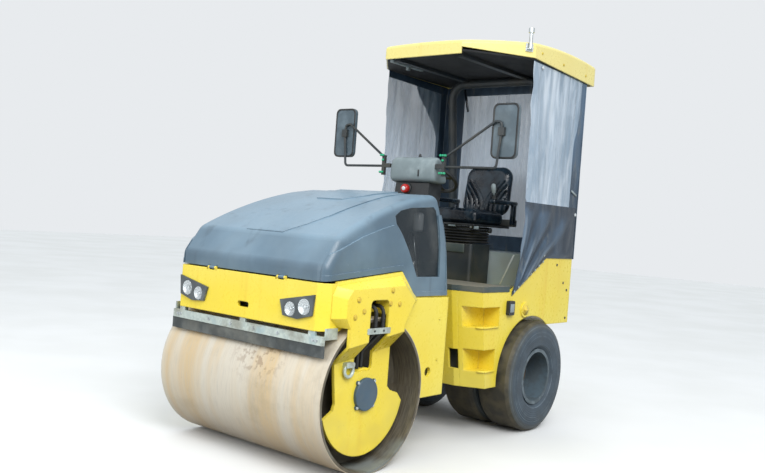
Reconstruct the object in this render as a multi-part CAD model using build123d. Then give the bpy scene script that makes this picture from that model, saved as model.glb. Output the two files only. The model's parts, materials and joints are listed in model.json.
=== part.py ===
from build123d import *
import math
import os

# Combination road roller: one smooth steel drum in front, two pairs of smooth
# tyres behind, hinged in the middle. Millimetres. X forward, Y left, Z up.
# The origin is on the ground, below the middle of the machine.

# Drum
drum_radius = 450.0
drum_width = 1380.0
drum_wall = 20.0
drum_axle_x = 1025.0
bulkhead_inset = 200.0
bulkhead_wall = 20.0
drum_hub_radius = 120.0

# Centre hinge
pivot_gap = 350.0
pivot_z = 520.0
steer_pin_radius = 45.0
knuckle_radius = 78.0
knuckle_high = 220.0
rock_radius = 70.0
bracket_half = 110.0
steer_arm = 190.0
arm_wall = 16.0
eye_half = 32.0
ear_wall = 40.0
ear_half = 95.0

# Wheels
axle_behind_pivot = 1010.0
tyre_radius = 400.0
tyre_width = 290.0
twin_gap = 12.0
tyre_inner_y = 163.0
rim_radius = 188.0
rim_wall = 9.0
flange_high = 16.0
flange_wide = 14.0

# Front frame
frame_inset = 50.0
side_plate = 22.0
front_overlap = 30.0
panel_high = 262.0
panel_wall = 20.0
corner_chamfer = 60.0
lash_radius = 30.0
hinge_radius = 9.0
hinge_pin = 5.0
hinge_half = 22.0

# Yokes
yoke_plate = 20.0
yoke_rim_gap = 92.0
yoke_inset = 70.0
yoke_overhang = 30.0
hub_cap_radius = 96.0
hub_cap_proud = 22.0
hub_housing_radius = 150.0
slot_round = 28.0

# Hood
hood_wall = 8.0
hood_inset = 14.0
hood_round = 54.0
hood_lean = 70.0
panel_proud = 12.0

# Rear body
body_ahead = 225.0
body_lean = 115.0
body_tail = 580.0
tyre_overhang = 95.0
body_low_z = 355.0
deck_over_tyres = 220.0
lip_high = 38.0
lip_proud = 4.0
box_high = 258.0
arch_gap = 36.0
arch_inner_gap = 13.0
bay_wall = 20.0
corner_cut_y = 180.0
step_depth = 130.0
chassis_gap = 80.0
beam_wide = 70.0
beam_high = 160.0
bulk_wall = 40.0

# Canopy
headroom = 1656.0
roof_ahead = 90.0
roof_tail = 110.0
roof_overhang = 20.0
roof_nose_half = 337.0
roof_wall = 12.0
roof_crown = 176.0
roof_round = 26.0
liner_wall = 14.0
hoop_radius = 35.0

# Operator's place
seat_y = 20.0
seat_width = 475.0
console_half = 150.0
cover_half = 205.0
wheel_ring_radius = 180.0
mirror_tube = 9.0

# Running clearances
seat_gap = 0.3
soft_gap = 0.5
turn_gap = 5.0
drum_gap = 22.0

# Places that follow from the sizes above
half_drum = drum_width / 2
drum_top = 2 * drum_radius
drum_inner = drum_radius - drum_wall
drum_clear = drum_radius + drum_gap
pivot_x = drum_axle_x - drum_radius - pivot_gap
rear_axle_x = pivot_x - axle_behind_pivot
frame_half = half_drum - frame_inset
frame_rear_x = pivot_x + 50
frame_front_x = drum_axle_x + drum_radius - front_overlap
frame_low_z = pivot_z - 149
panel_low_z = drum_top - 70
panel_top_z = panel_low_z + panel_high
yoke_in = half_drum - yoke_inset
yoke_out = half_drum + yoke_overhang
track_half = tyre_inner_y + 2 * tyre_width + twin_gap
body_half = track_half - tyre_overhang
body_front_x = pivot_x - body_ahead
body_low_x = body_front_x - body_lean
body_rear_x = rear_axle_x - body_tail
deck_z = 2 * tyre_radius + deck_over_tyres
body_lean_rate = -body_lean / (deck_z - body_low_z)
box_top_z = deck_z + box_high
tail_low_z = tyre_radius + 303
liner_z = deck_z + headroom
roof_half = body_half + roof_overhang

parts = {}


def block(x0, x1, y0, y1, z0, z1):
    """A box between two corners."""
    centre = Pos((x0 + x1) / 2, (y0 + y1) / 2, (z0 + z1) / 2)
    return centre * Box(abs(x1 - x0), abs(y1 - y0), abs(z1 - z0))


def shifted(points, a, b):
    """Outline points moved from a local datum to their place."""
    return [(p + a, q + b) for p, q in points]


def side_face(points, y):
    """A flat outline of x, z points, standing at y."""
    return make_face(Polyline(*[(x, y, z) for x, z in points], close=True))


def side_prism(points, y0, y1):
    """An outline of x, z points, extruded from y0 to y1."""
    return extrude(side_face(points, min(y0, y1)), amount=abs(y1 - y0), dir=(0, 1, 0))


def plan_prism(points, z0, z1):
    """An outline of x, y points, extruded from z0 up to z1."""
    outline = Polyline(*[(x, y, z0) for x, y in points], close=True)
    return extrude(make_face(outline), amount=z1 - z0, dir=(0, 0, 1))


def axle_disc(radius, y0, y1, x, z):
    """A cylinder along Y."""
    return Pos(x, (y0 + y1) / 2, z) * Rot(90, 0, 0) * Cylinder(radius, abs(y1 - y0))


def post(radius, x, y, z0, z1):
    """A cylinder along Z."""
    return Pos(x, y, (z0 + z1) / 2) * Cylinder(radius, z1 - z0)


def rod(radius, start, end):
    """A straight round bar between two points."""
    line = Vector(*end) - Vector(*start)
    return extrude(Plane(origin=start, z_dir=line) * Circle(radius), amount=line.length)


def bent_tube(radius, points, bends):
    """A round tube along straight runs joined by tangent arcs."""
    path = FilletPolyline(*points, radius=bends)
    return sweep(Plane(origin=path @ 0, z_dir=path % 0) * Circle(radius), path=path)


def turned(profile, x, z):
    """A closed outline of y, r points, turned about an axle along Y at x, z."""
    outline = Polyline(*[(0, y, r) for y, r in profile], close=True)
    return Pos(x, 0, z) * revolve(make_face(outline), axis=Axis.Y)


def other_side(shape):
    """The mirror image about the machine's middle plane."""
    return mirror(shape, about=Plane.XZ)


def both_sides(shape):
    """The shape and its mirror image."""
    return [shape, other_side(shape)]


def keep(name, *shapes):
    """Store the solids of one node."""
    solids = []
    for shape in shapes:
        items = shape if isinstance(shape, (list, tuple)) else [shape]
        for item in items:
            solids.extend(item.solids())
    parts[name] = Compound(children=solids) if len(solids) > 1 else solids[0]


# Drum: a rolled shell with two inset bulkheads, each with a hub
hub_gap = 40.0
bulkhead_y = half_drum - bulkhead_inset
hub_face_y = yoke_in - yoke_plate - hub_gap
drum = turned(
    [
        (-half_drum, drum_inner),
        (-half_drum, drum_radius),
        (half_drum, drum_radius),
        (half_drum, drum_inner),
    ],
    drum_axle_x,
    drum_radius,
)
web = turned(
    [
        (bulkhead_y - bulkhead_wall, 0),
        (bulkhead_y - bulkhead_wall, drum_inner + 1),
        (bulkhead_y, drum_inner + 1),
        (bulkhead_y, drum_hub_radius),
        (hub_face_y, drum_hub_radius - 12),
        (hub_face_y, 0),
    ],
    drum_axle_x,
    drum_radius,
)
keep("drum", drum + web + other_side(web))

# Yokes: each bulges out from the frame's side over the drum's rim, jogs in again
# and ends in a disc that carries the drum's hub
disc = drum_radius - yoke_rim_gap
neck_rear_x = drum_axle_x - disc + 153
neck_front_x = drum_axle_x + disc - 78
jog_high_z = drum_top - 57
jog_low_z = drum_top - 160
jog_drop = -0.143


def disc_point(angle):
    """A point on the yoke's lower disc, at an angle in degrees from forward."""
    turn = math.radians(angle)
    return (drum_axle_x + disc * math.cos(turn), drum_radius + disc * math.sin(turn))


with BuildSketch(Plane.XZ) as yoke_sketch:
    with BuildLine():
        ThreePointArc(disc_point(-18), disc_point(-93), disc_point(-168))
        Polyline(
            disc_point(-168),
            (neck_rear_x - 101, drum_radius - 24),
            (neck_rear_x - 30, drum_radius - 2),
            (neck_rear_x, drum_radius + 25),
            (neck_rear_x, drum_top + 100),
            (neck_front_x, drum_top + 100),
            (neck_front_x, drum_radius + 190),
            (neck_front_x - 30, drum_radius - 30),
            (neck_front_x - 18, drum_radius - 66),
            disc_point(-18),
        )
    make_face()
outline_depth = yoke_out - yoke_in + 100
yoke_outline = Pos(0, yoke_out + 40, 0) * extrude(
    yoke_sketch.sketch, amount=outline_depth, dir=(0, -1, 0)
)
jog_start_x = drum_axle_x - disc - 42
jog_section = Polyline(
    (jog_start_x, yoke_out, drum_top + 250),
    (jog_start_x, yoke_out, jog_high_z),
    (jog_start_x, yoke_in, jog_low_z),
    (jog_start_x, yoke_in, 40),
    (jog_start_x, yoke_in - yoke_plate, 40),
    (jog_start_x, yoke_in - yoke_plate, jog_low_z + 6),
    (jog_start_x, yoke_out - yoke_plate, jog_high_z + 6),
    (jog_start_x, yoke_out - yoke_plate, drum_top + 250),
    close=True,
)
jog = extrude(make_face(jog_section), amount=2 * disc + 144, dir=(1, 0, jog_drop))
bulge_base = shifted(
    [(-285, -45), (-420, 90), (-235, 238), (330, 180), (358, 130), (358, 0), (300, -48)],
    drum_axle_x,
    drum_top,
)
bulge_face = shifted(
    [(-205, -48), (-290, 95), (-190, 185), (270, 165), (315, 115), (315, 10), (280, -48)],
    drum_axle_x,
    drum_top,
)
bulge = loft([side_face(bulge_base, frame_half), side_face(bulge_face, yoke_out)], ruled=True)
rim_room = axle_disc(drum_clear, frame_half - 1, yoke_out - yoke_plate, drum_axle_x, drum_radius)
yoke = (jog & yoke_outline) + (bulge - rim_room)
slot_rear_x = drum_axle_x - 45
slot_front_x = drum_axle_x + 115
slot_low_z = drum_radius + 135
slot_top_z = drum_top + 105
slot = block(slot_rear_x, slot_front_x, yoke_in - 60, yoke_out + 60, slot_low_z, slot_top_z)
slot = fillet(slot.edges().filter_by(Axis.Y), slot_round)
housing = axle_disc(
    hub_housing_radius, hub_face_y + seat_gap, yoke_in - yoke_plate + 1, drum_axle_x, drum_radius
)
yoke = yoke - slot + housing
keep("yokes", both_sides(yoke))

# Hub caps, each with four lugs
lug_radius = 13.0
lug_proud = 10.0
cap_face_y = yoke_in + hub_cap_proud
cap = axle_disc(hub_cap_radius, yoke_in, cap_face_y, drum_axle_x, drum_radius)
cap = fillet(cap.edges().filter_by_position(Axis.Y, cap_face_y - 1, cap_face_y + 1), 8)
for angle in (45, 135, 225, 315):
    turn = math.radians(angle)
    lug_x = drum_axle_x + (hub_cap_radius + 4) * math.cos(turn)
    lug_z = drum_radius + (hub_cap_radius + 4) * math.sin(turn)
    cap = cap + axle_disc(lug_radius, yoke_in, yoke_in + lug_proud, lug_x, lug_z)
keep("hub_caps", both_sides(cap))

# Front frame: two side plates, a front panel, a rear cross box and the bracket of the rocking pin
plate_in = frame_half - side_plate
diagonal_low_x = drum_axle_x - 397
diagonal_top_x = drum_axle_x - 249
plate_outline = [
    (frame_rear_x, frame_low_z),
    (frame_rear_x, drum_top + 96),
    (diagonal_low_x, drum_top + 100),
    (diagonal_top_x, drum_top + 258),
    (frame_front_x - 4, panel_top_z),
    (frame_front_x - 4, panel_low_z),
    (drum_axle_x + 125, panel_low_z),
    (drum_axle_x - 125, frame_low_z),
]
corner_y = frame_half - corner_chamfer
corner_x = frame_front_x - corner_chamfer
return_x = corner_x - 40
wall = side_prism(plate_outline, plate_in, frame_half)
wall = wall - axle_disc(drum_clear, plate_in - 60, frame_half + 60, drum_axle_x, drum_radius)
wall = wall - axle_disc(lash_radius, plate_in - 60, frame_half + 60, pivot_x + 222, pivot_z + 8)
slot_head = block(slot_rear_x, slot_front_x, plate_in - 60, frame_half + 60, drum_top, slot_top_z)
wall = wall - fillet(slot_head.edges().filter_by(Axis.Y), slot_round)
wall = wall - block(
    return_x, frame_front_x + 5, plate_in - 1, frame_half + 1, drum_top - 200, drum_top + 300
)
left_corner = [
    (frame_front_x, corner_y),
    (corner_x, frame_half),
    (return_x, frame_half),
    (return_x, plate_in),
    (corner_x - 8, plate_in),
    (frame_front_x - panel_wall, corner_y - 10),
]
panel_plan = left_corner + [(x, -y) for x, y in reversed(left_corner)]
front_panel = plan_prism(panel_plan, panel_low_z, panel_top_z)
notch = block(frame_front_x - 40, frame_front_x + 10, -48, 48, panel_low_z + 63, panel_low_z + 95)
front_panel = front_panel - fillet(notch.edges().filter_by(Axis.X), 14)
cross_x = pivot_x + 175
cross_deep = 120.0
cross_box = block(cross_x, cross_x + cross_deep, -plate_in, plate_in, pivot_z - 100, drum_top + 40)
cross_box = cross_box - axle_disc(drum_clear + 10, -half_drum, half_drum, drum_axle_x, drum_radius)
bracket_x = pivot_x + 107
bracket = block(
    bracket_x, cross_x, -bracket_half, bracket_half, pivot_z - bracket_half, pivot_z + bracket_half
)
bracket_bore = rod(rock_radius + seat_gap, (bracket_x - 10, 0, pivot_z), (cross_x, 0, pivot_z))
rail = block(
    frame_rear_x + 285, frame_front_x - 65, plate_in - 98, plate_in, drum_top + 25, drum_top + 50
)
manifold_x = drum_axle_x + 22
manifold_y = plate_in - 18
manifold_z = drum_top + 50
manifold = block(
    manifold_x - 55, manifold_x + 55, manifold_y - 36, manifold_y, manifold_z - 1, manifold_z + 36
)
front_frame = wall + other_side(wall) + front_panel + cross_box + bracket + rail + other_side(rail)
front_frame = front_frame + manifold + other_side(manifold)
front_frame = front_frame - bracket_bore

# Hood hinges: on the frame two lugs and a pin each, on the hood a barrel between them
hinge_x = frame_front_x - 5
hinge_z = panel_top_z + 5
hinge_y = corner_y - 280
lug_wide = 13.0
lug_start = hinge_half + soft_gap
for y in (-hinge_y, hinge_y):
    front_frame = front_frame - block(
        hinge_x - 18, hinge_x + 18, y - hinge_half - 24, y + hinge_half + 24, hinge_z - 14, hinge_z + 20
    )
    for end in (-1, 1):
        lug_y = [y + end * lug_start, y + end * (lug_start + lug_wide)]
        lug = axle_disc(hinge_radius, lug_y[0], lug_y[1], hinge_x, hinge_z)
        lug = lug + block(hinge_x - hinge_radius, hinge_x + 5, lug_y[0], lug_y[1], hinge_z - 16, hinge_z)
        front_frame = front_frame + lug
    front_frame = front_frame + axle_disc(
        hinge_pin, y - hinge_half - 2, y + hinge_half + 2, hinge_x, hinge_z
    )
keep("front_frame", front_frame)

# Drum hoses: two a side, from a manifold in the frame, down the yoke's slot
# and over the drum's rim to the hub. A row gives where each starts and ends.
hose_radius = 11.0
hose_bend = 42.0
hose_y = half_drum + hose_radius + turn_gap + 2
hose_top_z = manifold_z + 17
hub_y = hub_face_y + 22
hose_rows = [(-32, -14), (32, 22)]
hoses = []
for top_shift, foot_shift in hose_rows:
    hose_x = manifold_x + top_shift
    end_x = manifold_x + foot_shift
    across = abs(end_x - drum_axle_x) - hose_radius
    end_z = drum_radius + math.sqrt(hub_housing_radius ** 2 - across ** 2) + seat_gap
    route = [
        (hose_x, manifold_y + seat_gap, hose_top_z),
        (hose_x, hose_y, hose_top_z),
        (hose_x, hose_y, drum_top - 75),
        (end_x, hub_y, end_z + 95),
        (end_x, hub_y, end_z),
    ]
    hoses.extend(both_sides(bent_tube(hose_radius, route, hose_bend)))
keep("drum_hoses", hoses)

# A strap across each slot holds the hoses, and a shackle hangs in front of them
strap_lap = 22.0
strap_thick = 4.0
strap_low_z = drum_top - 86
strap_high_z = strap_low_z + 34
strap_out = yoke_out + strap_thick
strap = block(
    slot_rear_x - strap_lap, slot_front_x + strap_lap, yoke_out, strap_out, strap_low_z, strap_high_z
)
strap = fillet(strap.edges().filter_by(Axis.Y), 8)
keep("hose_straps", both_sides(strap))
shackle_x = drum_axle_x + 172
shackle_z = drum_radius + 154
shackle_ring = 36.0
shackle_rod = 10.0
lug_deep = 30.0
lug_low_z = shackle_z + 16
lug_out = yoke_in + lug_deep
shackle = Pos(shackle_x, yoke_in + lug_deep / 2 + 1, shackle_z) * Rot(90, 0, 0) * Torus(
    shackle_ring, shackle_rod
)
shackle_block = block(
    shackle_x - shackle_ring, shackle_x + shackle_ring, yoke_in, lug_out, lug_low_z, lug_low_z + 30
)
shackle = shackle + fillet(shackle_block.edges().filter_by(Axis.Y), 10)
keep("lifting_shackles", both_sides(shackle))

# Knuckle: a block on the steering pin, with a long pin forward that lets the frames rock
knuckle = post(knuckle_radius, pivot_x, 0, pivot_z - knuckle_high / 2, pivot_z + knuckle_high / 2)
knuckle = knuckle + rod(rock_radius, (pivot_x, 0, pivot_z), (cross_x - turn_gap, 0, pivot_z))
arm_plan = [(pivot_x - 50, 0), (pivot_x + 50, 0), (pivot_x + 32, -steer_arm), (pivot_x - 32, -steer_arm)]
arm_gap = 2.0
for low in (pivot_z + eye_half + arm_gap, pivot_z - eye_half - arm_gap - arm_wall):
    knuckle = knuckle + plan_prism(arm_plan, low, low + arm_wall)
    knuckle = knuckle + post(32, pivot_x, -steer_arm, low, low + arm_wall)
arm_top_z = pivot_z + eye_half + arm_gap + arm_wall
knuckle = knuckle + post(20, pivot_x, -steer_arm, arm_top_z, arm_top_z + 10)
knuckle = knuckle - post(steer_pin_radius + seat_gap, pivot_x, 0, pivot_z - 200, pivot_z + 200)
keep("pivot_knuckle", knuckle)

# Rear chassis: two beams and a tail plate with the tow clevis
well_inner = tyre_inner_y - arch_inner_gap
beam_out = well_inner - 30
beam_in = beam_out - beam_wide
beam_low_z = tyre_radius + chassis_gap
bulk_x = body_front_x - 190
bulk_half = body_half - 155
tail_x = body_rear_x + 65
tail_wall = 30.0
hitch_x = tail_x - 85
hitch_wall = 22.0
hitch_bore = 16.0
hitch_half = 40.0
beam = block(tail_x, bulk_x, beam_in, beam_out, beam_low_z, beam_low_z + beam_high)
chassis = beam + other_side(beam)
chassis = chassis + block(
    tail_x - tail_wall, tail_x, -beam_out - 20, beam_out + 20, beam_low_z - 30, tail_low_z
)
for low in (beam_low_z + 20, beam_low_z + 90):
    tongue = block(hitch_x, tail_x - tail_wall, -hitch_half, hitch_half, low, low + hitch_wall)
    tongue = tongue + post(hitch_half, hitch_x, 0, low, low + hitch_wall)
    chassis = chassis + tongue - post(hitch_bore, hitch_x, 0, low - 10, low + hitch_wall + 10)
keep("rear_chassis", chassis)

# Hinge bracket: a cross plate with the two ears, the steering pin and the cylinder's clevis
cylinder_y = -181.0
clevis_x = bulk_x + bulk_wall + 50
clevis_round = 28.0
bracket_low_z = pivot_z - 140
bracket_top_z = pivot_z + 380
hinge_bracket = block(bulk_x, bulk_x + bulk_wall, -bulk_half, bulk_half, bracket_low_z, bracket_top_z)
ear_gap = knuckle_high / 2 + seat_gap
for low in (pivot_z + ear_gap, pivot_z - ear_gap - ear_wall):
    hinge_bracket = hinge_bracket + block(bulk_x, pivot_x, -ear_half, ear_half, low, low + ear_wall)
    hinge_bracket = hinge_bracket + post(ear_half, pivot_x, 0, low, low + ear_wall)
pin_half = knuckle_high / 2 + ear_wall + 15
hinge_bracket = hinge_bracket + post(steer_pin_radius, pivot_x, 0, pivot_z - pin_half, pivot_z + pin_half)
for low in (pivot_z + eye_half, pivot_z - eye_half - arm_wall):
    plate = block(
        bulk_x + bulk_wall,
        clevis_x,
        cylinder_y - clevis_round,
        cylinder_y + clevis_round,
        low,
        low + arm_wall,
    )
    hinge_bracket = hinge_bracket + plate + post(clevis_round, clevis_x, cylinder_y, low, low + arm_wall)
keep("hinge_bracket", hinge_bracket)

# Steering cylinder, from the hinge bracket to the knuckle's arm
barrel_radius = 28.0
ram_radius = 16.0
ram_eye_radius = 24.0
barrel_front_x = pivot_x - 115
barrel_bore_x = clevis_x + 34
barrel = rod(barrel_radius, (clevis_x, cylinder_y, pivot_z), (barrel_front_x, cylinder_y, pivot_z))
barrel = barrel + post(clevis_round, clevis_x, cylinder_y, pivot_z - eye_half, pivot_z + eye_half)
barrel = barrel - rod(
    ram_radius + seat_gap, (barrel_bore_x, cylinder_y, pivot_z), (barrel_front_x + 5, cylinder_y, pivot_z)
)
keep("cylinder_barrel", barrel)
ram = rod(ram_radius, (pivot_x - 205, cylinder_y, pivot_z), (pivot_x, cylinder_y, pivot_z))
ram = ram + post(ram_eye_radius, pivot_x, cylinder_y, pivot_z - eye_half, pivot_z + eye_half)
keep("cylinder_rod", ram)

# Wheels: each side has two rims on one hub and two smooth tyres
inner_y = tyre_inner_y + tyre_width / 2
outer_y = inner_y + tyre_width + twin_gap
axle_half = inner_y - 58
hub_disc_y = outer_y - 55
hub_disc_wall = 14.0
hub_radius = 88.0
rim_edge = 20.0
tyre_half = tyre_width / 2
axle_tube = axle_disc(62, -axle_half, axle_half, rear_axle_x, tyre_radius)
axle_tube = axle_tube + block(
    rear_axle_x - 75, rear_axle_x + 75, -beam_out - 5, beam_out + 5, tyre_radius - 70, beam_low_z
)
keep("rear_axle", axle_tube)

# Share of the tyre's half width, and radius, from bead to tread
tyre_rows = [
    (0.66, rim_radius),
    (0.97, rim_radius + 45),
    (1.00, rim_radius + 105),
    (0.96, tyre_radius - 45),
    (0.86, tyre_radius - 14),
    (0.70, tyre_radius),
]


def ring(y0, y1, r0, r1):
    """A plain ring about the rear axle."""
    return turned([(y0, r0), (y0, r1), (y1, r1), (y1, r0)], rear_axle_x, tyre_radius)


def rim_flanges(middle, grow):
    """The two bead flanges of one rim, or with grow the seats they need in the tyre."""
    inside = tyre_half - rim_edge - flange_wide
    outside = tyre_half - rim_edge
    low = rim_radius - 1 - 4 * grow
    high = rim_radius + flange_high + grow
    reach = outside + 80 * grow
    return ring(middle - reach, middle - inside, low, high) + ring(
        middle + inside, middle + reach, low, high
    )


rim_in = inner_y - tyre_half + rim_edge
rim_out = outer_y + tyre_half - rim_edge
rim = ring(rim_in, rim_out, rim_radius - rim_wall, rim_radius)
rim = rim + rim_flanges(inner_y, 0) + rim_flanges(outer_y, 0)
rim = rim + turned(
    [
        (hub_disc_y - hub_disc_wall, 0),
        (hub_disc_y - hub_disc_wall, rim_radius - rim_wall + 1),
        (hub_disc_y, rim_radius - rim_wall + 1),
        (hub_disc_y, hub_radius + 8),
        (hub_disc_y + 30, hub_radius - 4),
        (hub_disc_y + 30, 0),
    ],
    rear_axle_x,
    tyre_radius,
)
rim = rim + axle_disc(hub_radius, axle_half + seat_gap, hub_disc_y, rear_axle_x, tyre_radius)
keep("rims_left", rim)
keep("rims_right", other_side(rim))
for place, middle in (("outer", outer_y), ("inner", inner_y)):
    near = [(middle - share * tyre_half, radius) for share, radius in tyre_rows]
    far = [(middle + share * tyre_half, radius) for share, radius in reversed(tyre_rows)]
    tyre = turned(near + far, rear_axle_x, tyre_radius) - rim_flanges(middle, 1)
    keep("tyre_left_" + place, tyre)
    keep("tyre_right_" + place, other_side(tyre))

# Rear body: one folded shell with wheel wells, four step recesses and a box behind the seat
arch_radius = tyre_radius + arch_gap
arch_front_x = rear_axle_x + arch_radius
box_foot_x = rear_axle_x + 313
box_head_x = rear_axle_x - 153
body_outline = [
    (body_front_x, deck_z),
    (box_foot_x, deck_z),
    (box_head_x, box_top_z),
    (body_rear_x, box_top_z),
    (body_rear_x, tail_low_z),
    (rear_axle_x, tail_low_z),
    (rear_axle_x, body_low_z),
    (body_low_x, body_low_z),
]
body = side_prism(body_outline, -body_half, body_half)
corner_start_y = body_half - corner_cut_y
corner_face = Polyline(
    (body_front_x + 60, corner_start_y - 10, deck_z),
    (body_front_x, corner_start_y - 10, deck_z),
    (body_front_x - 95, body_half + 1, deck_z),
    (body_front_x + 60, body_half + 1, deck_z),
    close=True,
)
corner_cut = extrude(
    make_face(corner_face), amount=1.02 * (deck_z - body_low_z), dir=(body_lean_rate, 0, -1)
)
well = axle_disc(arch_radius, well_inner, body_half + 10, rear_axle_x, tyre_radius)
well = well + block(
    body_rear_x - 20, rear_axle_x, well_inner, body_half + 10, body_low_z - 50, tail_low_z + 60
)
body = body - corner_cut - other_side(corner_cut) - well - other_side(well)
tunnel_half = beam_out + 32
tunnel_top_z = beam_low_z + beam_high + 20
body = body - block(
    body_rear_x - 20, bulk_x - 60, -tunnel_half, tunnel_half, body_low_z - 50, tunnel_top_z
)
body = body - block(body_rear_x - 20, tail_x + 60, -tunnel_half, tunnel_half, body_low_z - 50, tail_low_z)
bay_top_z = deck_z - bay_wall


def front_at(z):
    """Where the leaning front face is at a height."""
    return body_front_x + body_lean_rate * (deck_z - z)


bay_low_z = body_low_z - 50
bay = side_prism(
    [
        (front_at(bay_low_z) - bay_wall, bay_low_z),
        (front_at(bay_top_z) - bay_wall, bay_top_z),
        (bulk_x - 150, bay_top_z),
        (bulk_x - 150, bay_low_z),
    ],
    -bulk_half,
    bulk_half,
)
ear_room = block(bulk_x - 10, pivot_x - 165, -320, 320, bay_low_z, pivot_z + 170)
vent = block(bulk_x + 30, pivot_x - 165, bulk_half - 75, bulk_half - 5, pivot_z - 40, pivot_z + 95)
seat_side = body_half - 25
seat_well = block(
    box_head_x + 38, body_front_x + 20, -seat_side, seat_side, deck_z - 0.01, box_top_z + 20
)
body = body - bay - ear_room - vent - other_side(vent) - seat_well
# Step recesses: low and high edge, and how far the front and rear edges lie
# from the body's front and the wheel arch
step_rows = [(deck_z - 245, deck_z - 105, 25, 14), (body_low_z + 115, body_low_z + 267, 40, 39)]
for low, high, front_gap, rear_gap in step_rows:
    front = body_front_x - front_gap
    rear = arch_front_x + rear_gap
    recess = block(rear, front + 120, body_half - step_depth, body_half + 20, low, high)
    corner_plan = [
        (front + 130, body_half - 260),
        (front, body_half - 260),
        (front - 40, body_half),
        (front - 40, body_half + 40),
        (front + 130, body_half + 40),
    ]
    recess = recess - plan_prism(corner_plan, low - 5, high + 5)
    body = body - recess - other_side(recess)
# A row of louvres in the rear wall
louvre_half = 300.0
louvre_pitch = 40.0
for row in range(6):
    louvre_z = tail_low_z + 70 + louvre_pitch * row
    louvre = side_prism(
        [(body_rear_x + 1, louvre_z), (body_rear_x - 16, louvre_z + 4), (body_rear_x + 1, louvre_z + 24)],
        -louvre_half,
        louvre_half,
    )
    body = body + louvre
keep("rear_body", body)

# Platform deck with a proud lip round its front
deck_plan = [
    (body_front_x + 2, -corner_start_y + 10),
    (body_front_x + 2, corner_start_y - 10),
    (body_front_x - 93, body_half + lip_proud),
    (box_foot_x + 32, body_half + lip_proud),
    (box_foot_x + 32, -body_half - lip_proud),
    (body_front_x - 93, -body_half - lip_proud),
]
keep("platform_deck", plan_prism(deck_plan, deck_z, deck_z + lip_high))

# Seat on a pedestal and a bellows suspension
seat_deep = 440.0
cushion_high = 113.0
pedestal_half = 190.0
bellows_half = 165.0
seat_front_x = rear_axle_x + 225
seat_rear_x = seat_front_x - seat_deep
half_seat = seat_width / 2
pedestal_top_z = deck_z + 310
pan_z = deck_z + 448
pan_wall = 14.0
cushion_z = pan_z + pan_wall + soft_gap
cushion_top_z = cushion_z + cushion_high
pedestal_low_y = seat_y - pedestal_half
pedestal_high_y = seat_y + pedestal_half
pedestal = block(
    seat_front_x - 320, seat_front_x - 40, pedestal_low_y, pedestal_high_y, deck_z, pedestal_top_z
)
keep("seat_pedestal", fillet(pedestal.edges().filter_by(Axis.Z), 30))
bellows_low_y = seat_y - bellows_half
bellows_high_y = seat_y + bellows_half
bellows = block(
    seat_front_x - 340, seat_front_x - 30, bellows_low_y, bellows_high_y, pedestal_top_z, pan_z + 1
)
bellows = fillet(bellows.edges().filter_by(Axis.Z), 40)
pan_half = half_seat - 20
pan = block(
    seat_rear_x - 85, seat_front_x - 10, seat_y - pan_half, seat_y + pan_half, pan_z, pan_z + pan_wall
)
keep("seat_suspension", bellows + pan)
cushion = block(
    seat_rear_x, seat_front_x, seat_y - half_seat, seat_y + half_seat, cushion_z, cushion_top_z
)
keep("seat_cushion", fillet(cushion.edges().filter_by(Axis.Z), 60))
back_outline = shifted(
    [(-0.5, 1), (-0.5, -55), (-95, -55), (-140, 345), (-125, 372), (-85, 372), (-60, 345)],
    seat_rear_x,
    cushion_top_z,
)
back_half = half_seat - 12
back = side_prism(back_outline, seat_y - back_half, seat_y + back_half)
keep("seat_back", back)
bar_z = pan_z + pan_wall
arm_z = cushion_top_z + 50
arm_reach = half_seat + 50
arm_off = half_seat + 35
arm_half = 25.0
arm_stem_half = 15.0
arm_long = 350.0
arm_wall_z = arm_z + 35
arm_rear_x = seat_rear_x - 60
arms = block(
    seat_rear_x - 80, seat_rear_x - 20, seat_y - arm_reach, seat_y + arm_reach, bar_z, bar_z + 56
)
for side in (-1, 1):
    arm_y = seat_y + side * arm_off
    arm_stem = block(
        arm_rear_x, arm_rear_x + 50, arm_y - arm_stem_half, arm_y + arm_stem_half, bar_z, arm_z + 25
    )
    arms = arms + arm_stem
    rest = block(arm_rear_x, arm_rear_x + arm_long, arm_y - arm_half, arm_y + arm_half, arm_z, arm_wall_z)
    arms = arms + fillet(rest.edges().filter_by(Axis.Z), 20)
keep("armrests", arms)

# Console with the steering column, and the instrument cover on it
console_outline = shifted(
    [(-60, lip_high), (-60, 480), (-90, 725), (-250, 725), (-210, 480), (-210, lip_high)],
    body_front_x,
    deck_z,
)
console = side_prism(console_outline, -console_half, console_half)
column_foot = Vector(body_front_x - 245, 0, deck_z + 620)
column_head = Vector(body_front_x - 330, 0, deck_z + 770)
console = console + rod(26, tuple(column_foot), tuple(column_head))
keep("console", console)
cover_outline = shifted(
    [(-70, 725), (-62, 840), (-85, 905), (-130, 920), (-255, 725)], body_front_x, deck_z
)
cover = side_prism(cover_outline, -cover_half, cover_half)
keep("instrument_cover", cover - rod(30, tuple(column_foot), tuple(column_head)))
column = column_head - column_foot
wheel_place = Plane(origin=column_head + column.normalized() * seat_gap, z_dir=column).location
rim_tube_radius = 14.0
boss_radius = 38.0
boss_high = 30.0
spoke = Box(2 * wheel_ring_radius - 10, 26, 10)
steering_wheel = Torus(wheel_ring_radius, rim_tube_radius) + Cylinder(boss_radius, boss_high)
steering_wheel = steering_wheel + spoke + Rot(0, 0, 90) * spoke
keep("steering_wheel", wheel_place * (Pos(0, 0, boss_high / 2) * steering_wheel))

# Stop button on the console's front, below the cover
button_z = deck_z + 680
button_x = body_front_x - 80
button_y = -45.0
button_radius = 32.0
button_long = 34.0
button = rod(button_radius, (button_x, button_y, button_z), (button_x + button_long, button_y, button_z))
keep("stop_button", fillet(button.edges().sort_by(Axis.X)[-1], 12))

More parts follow.
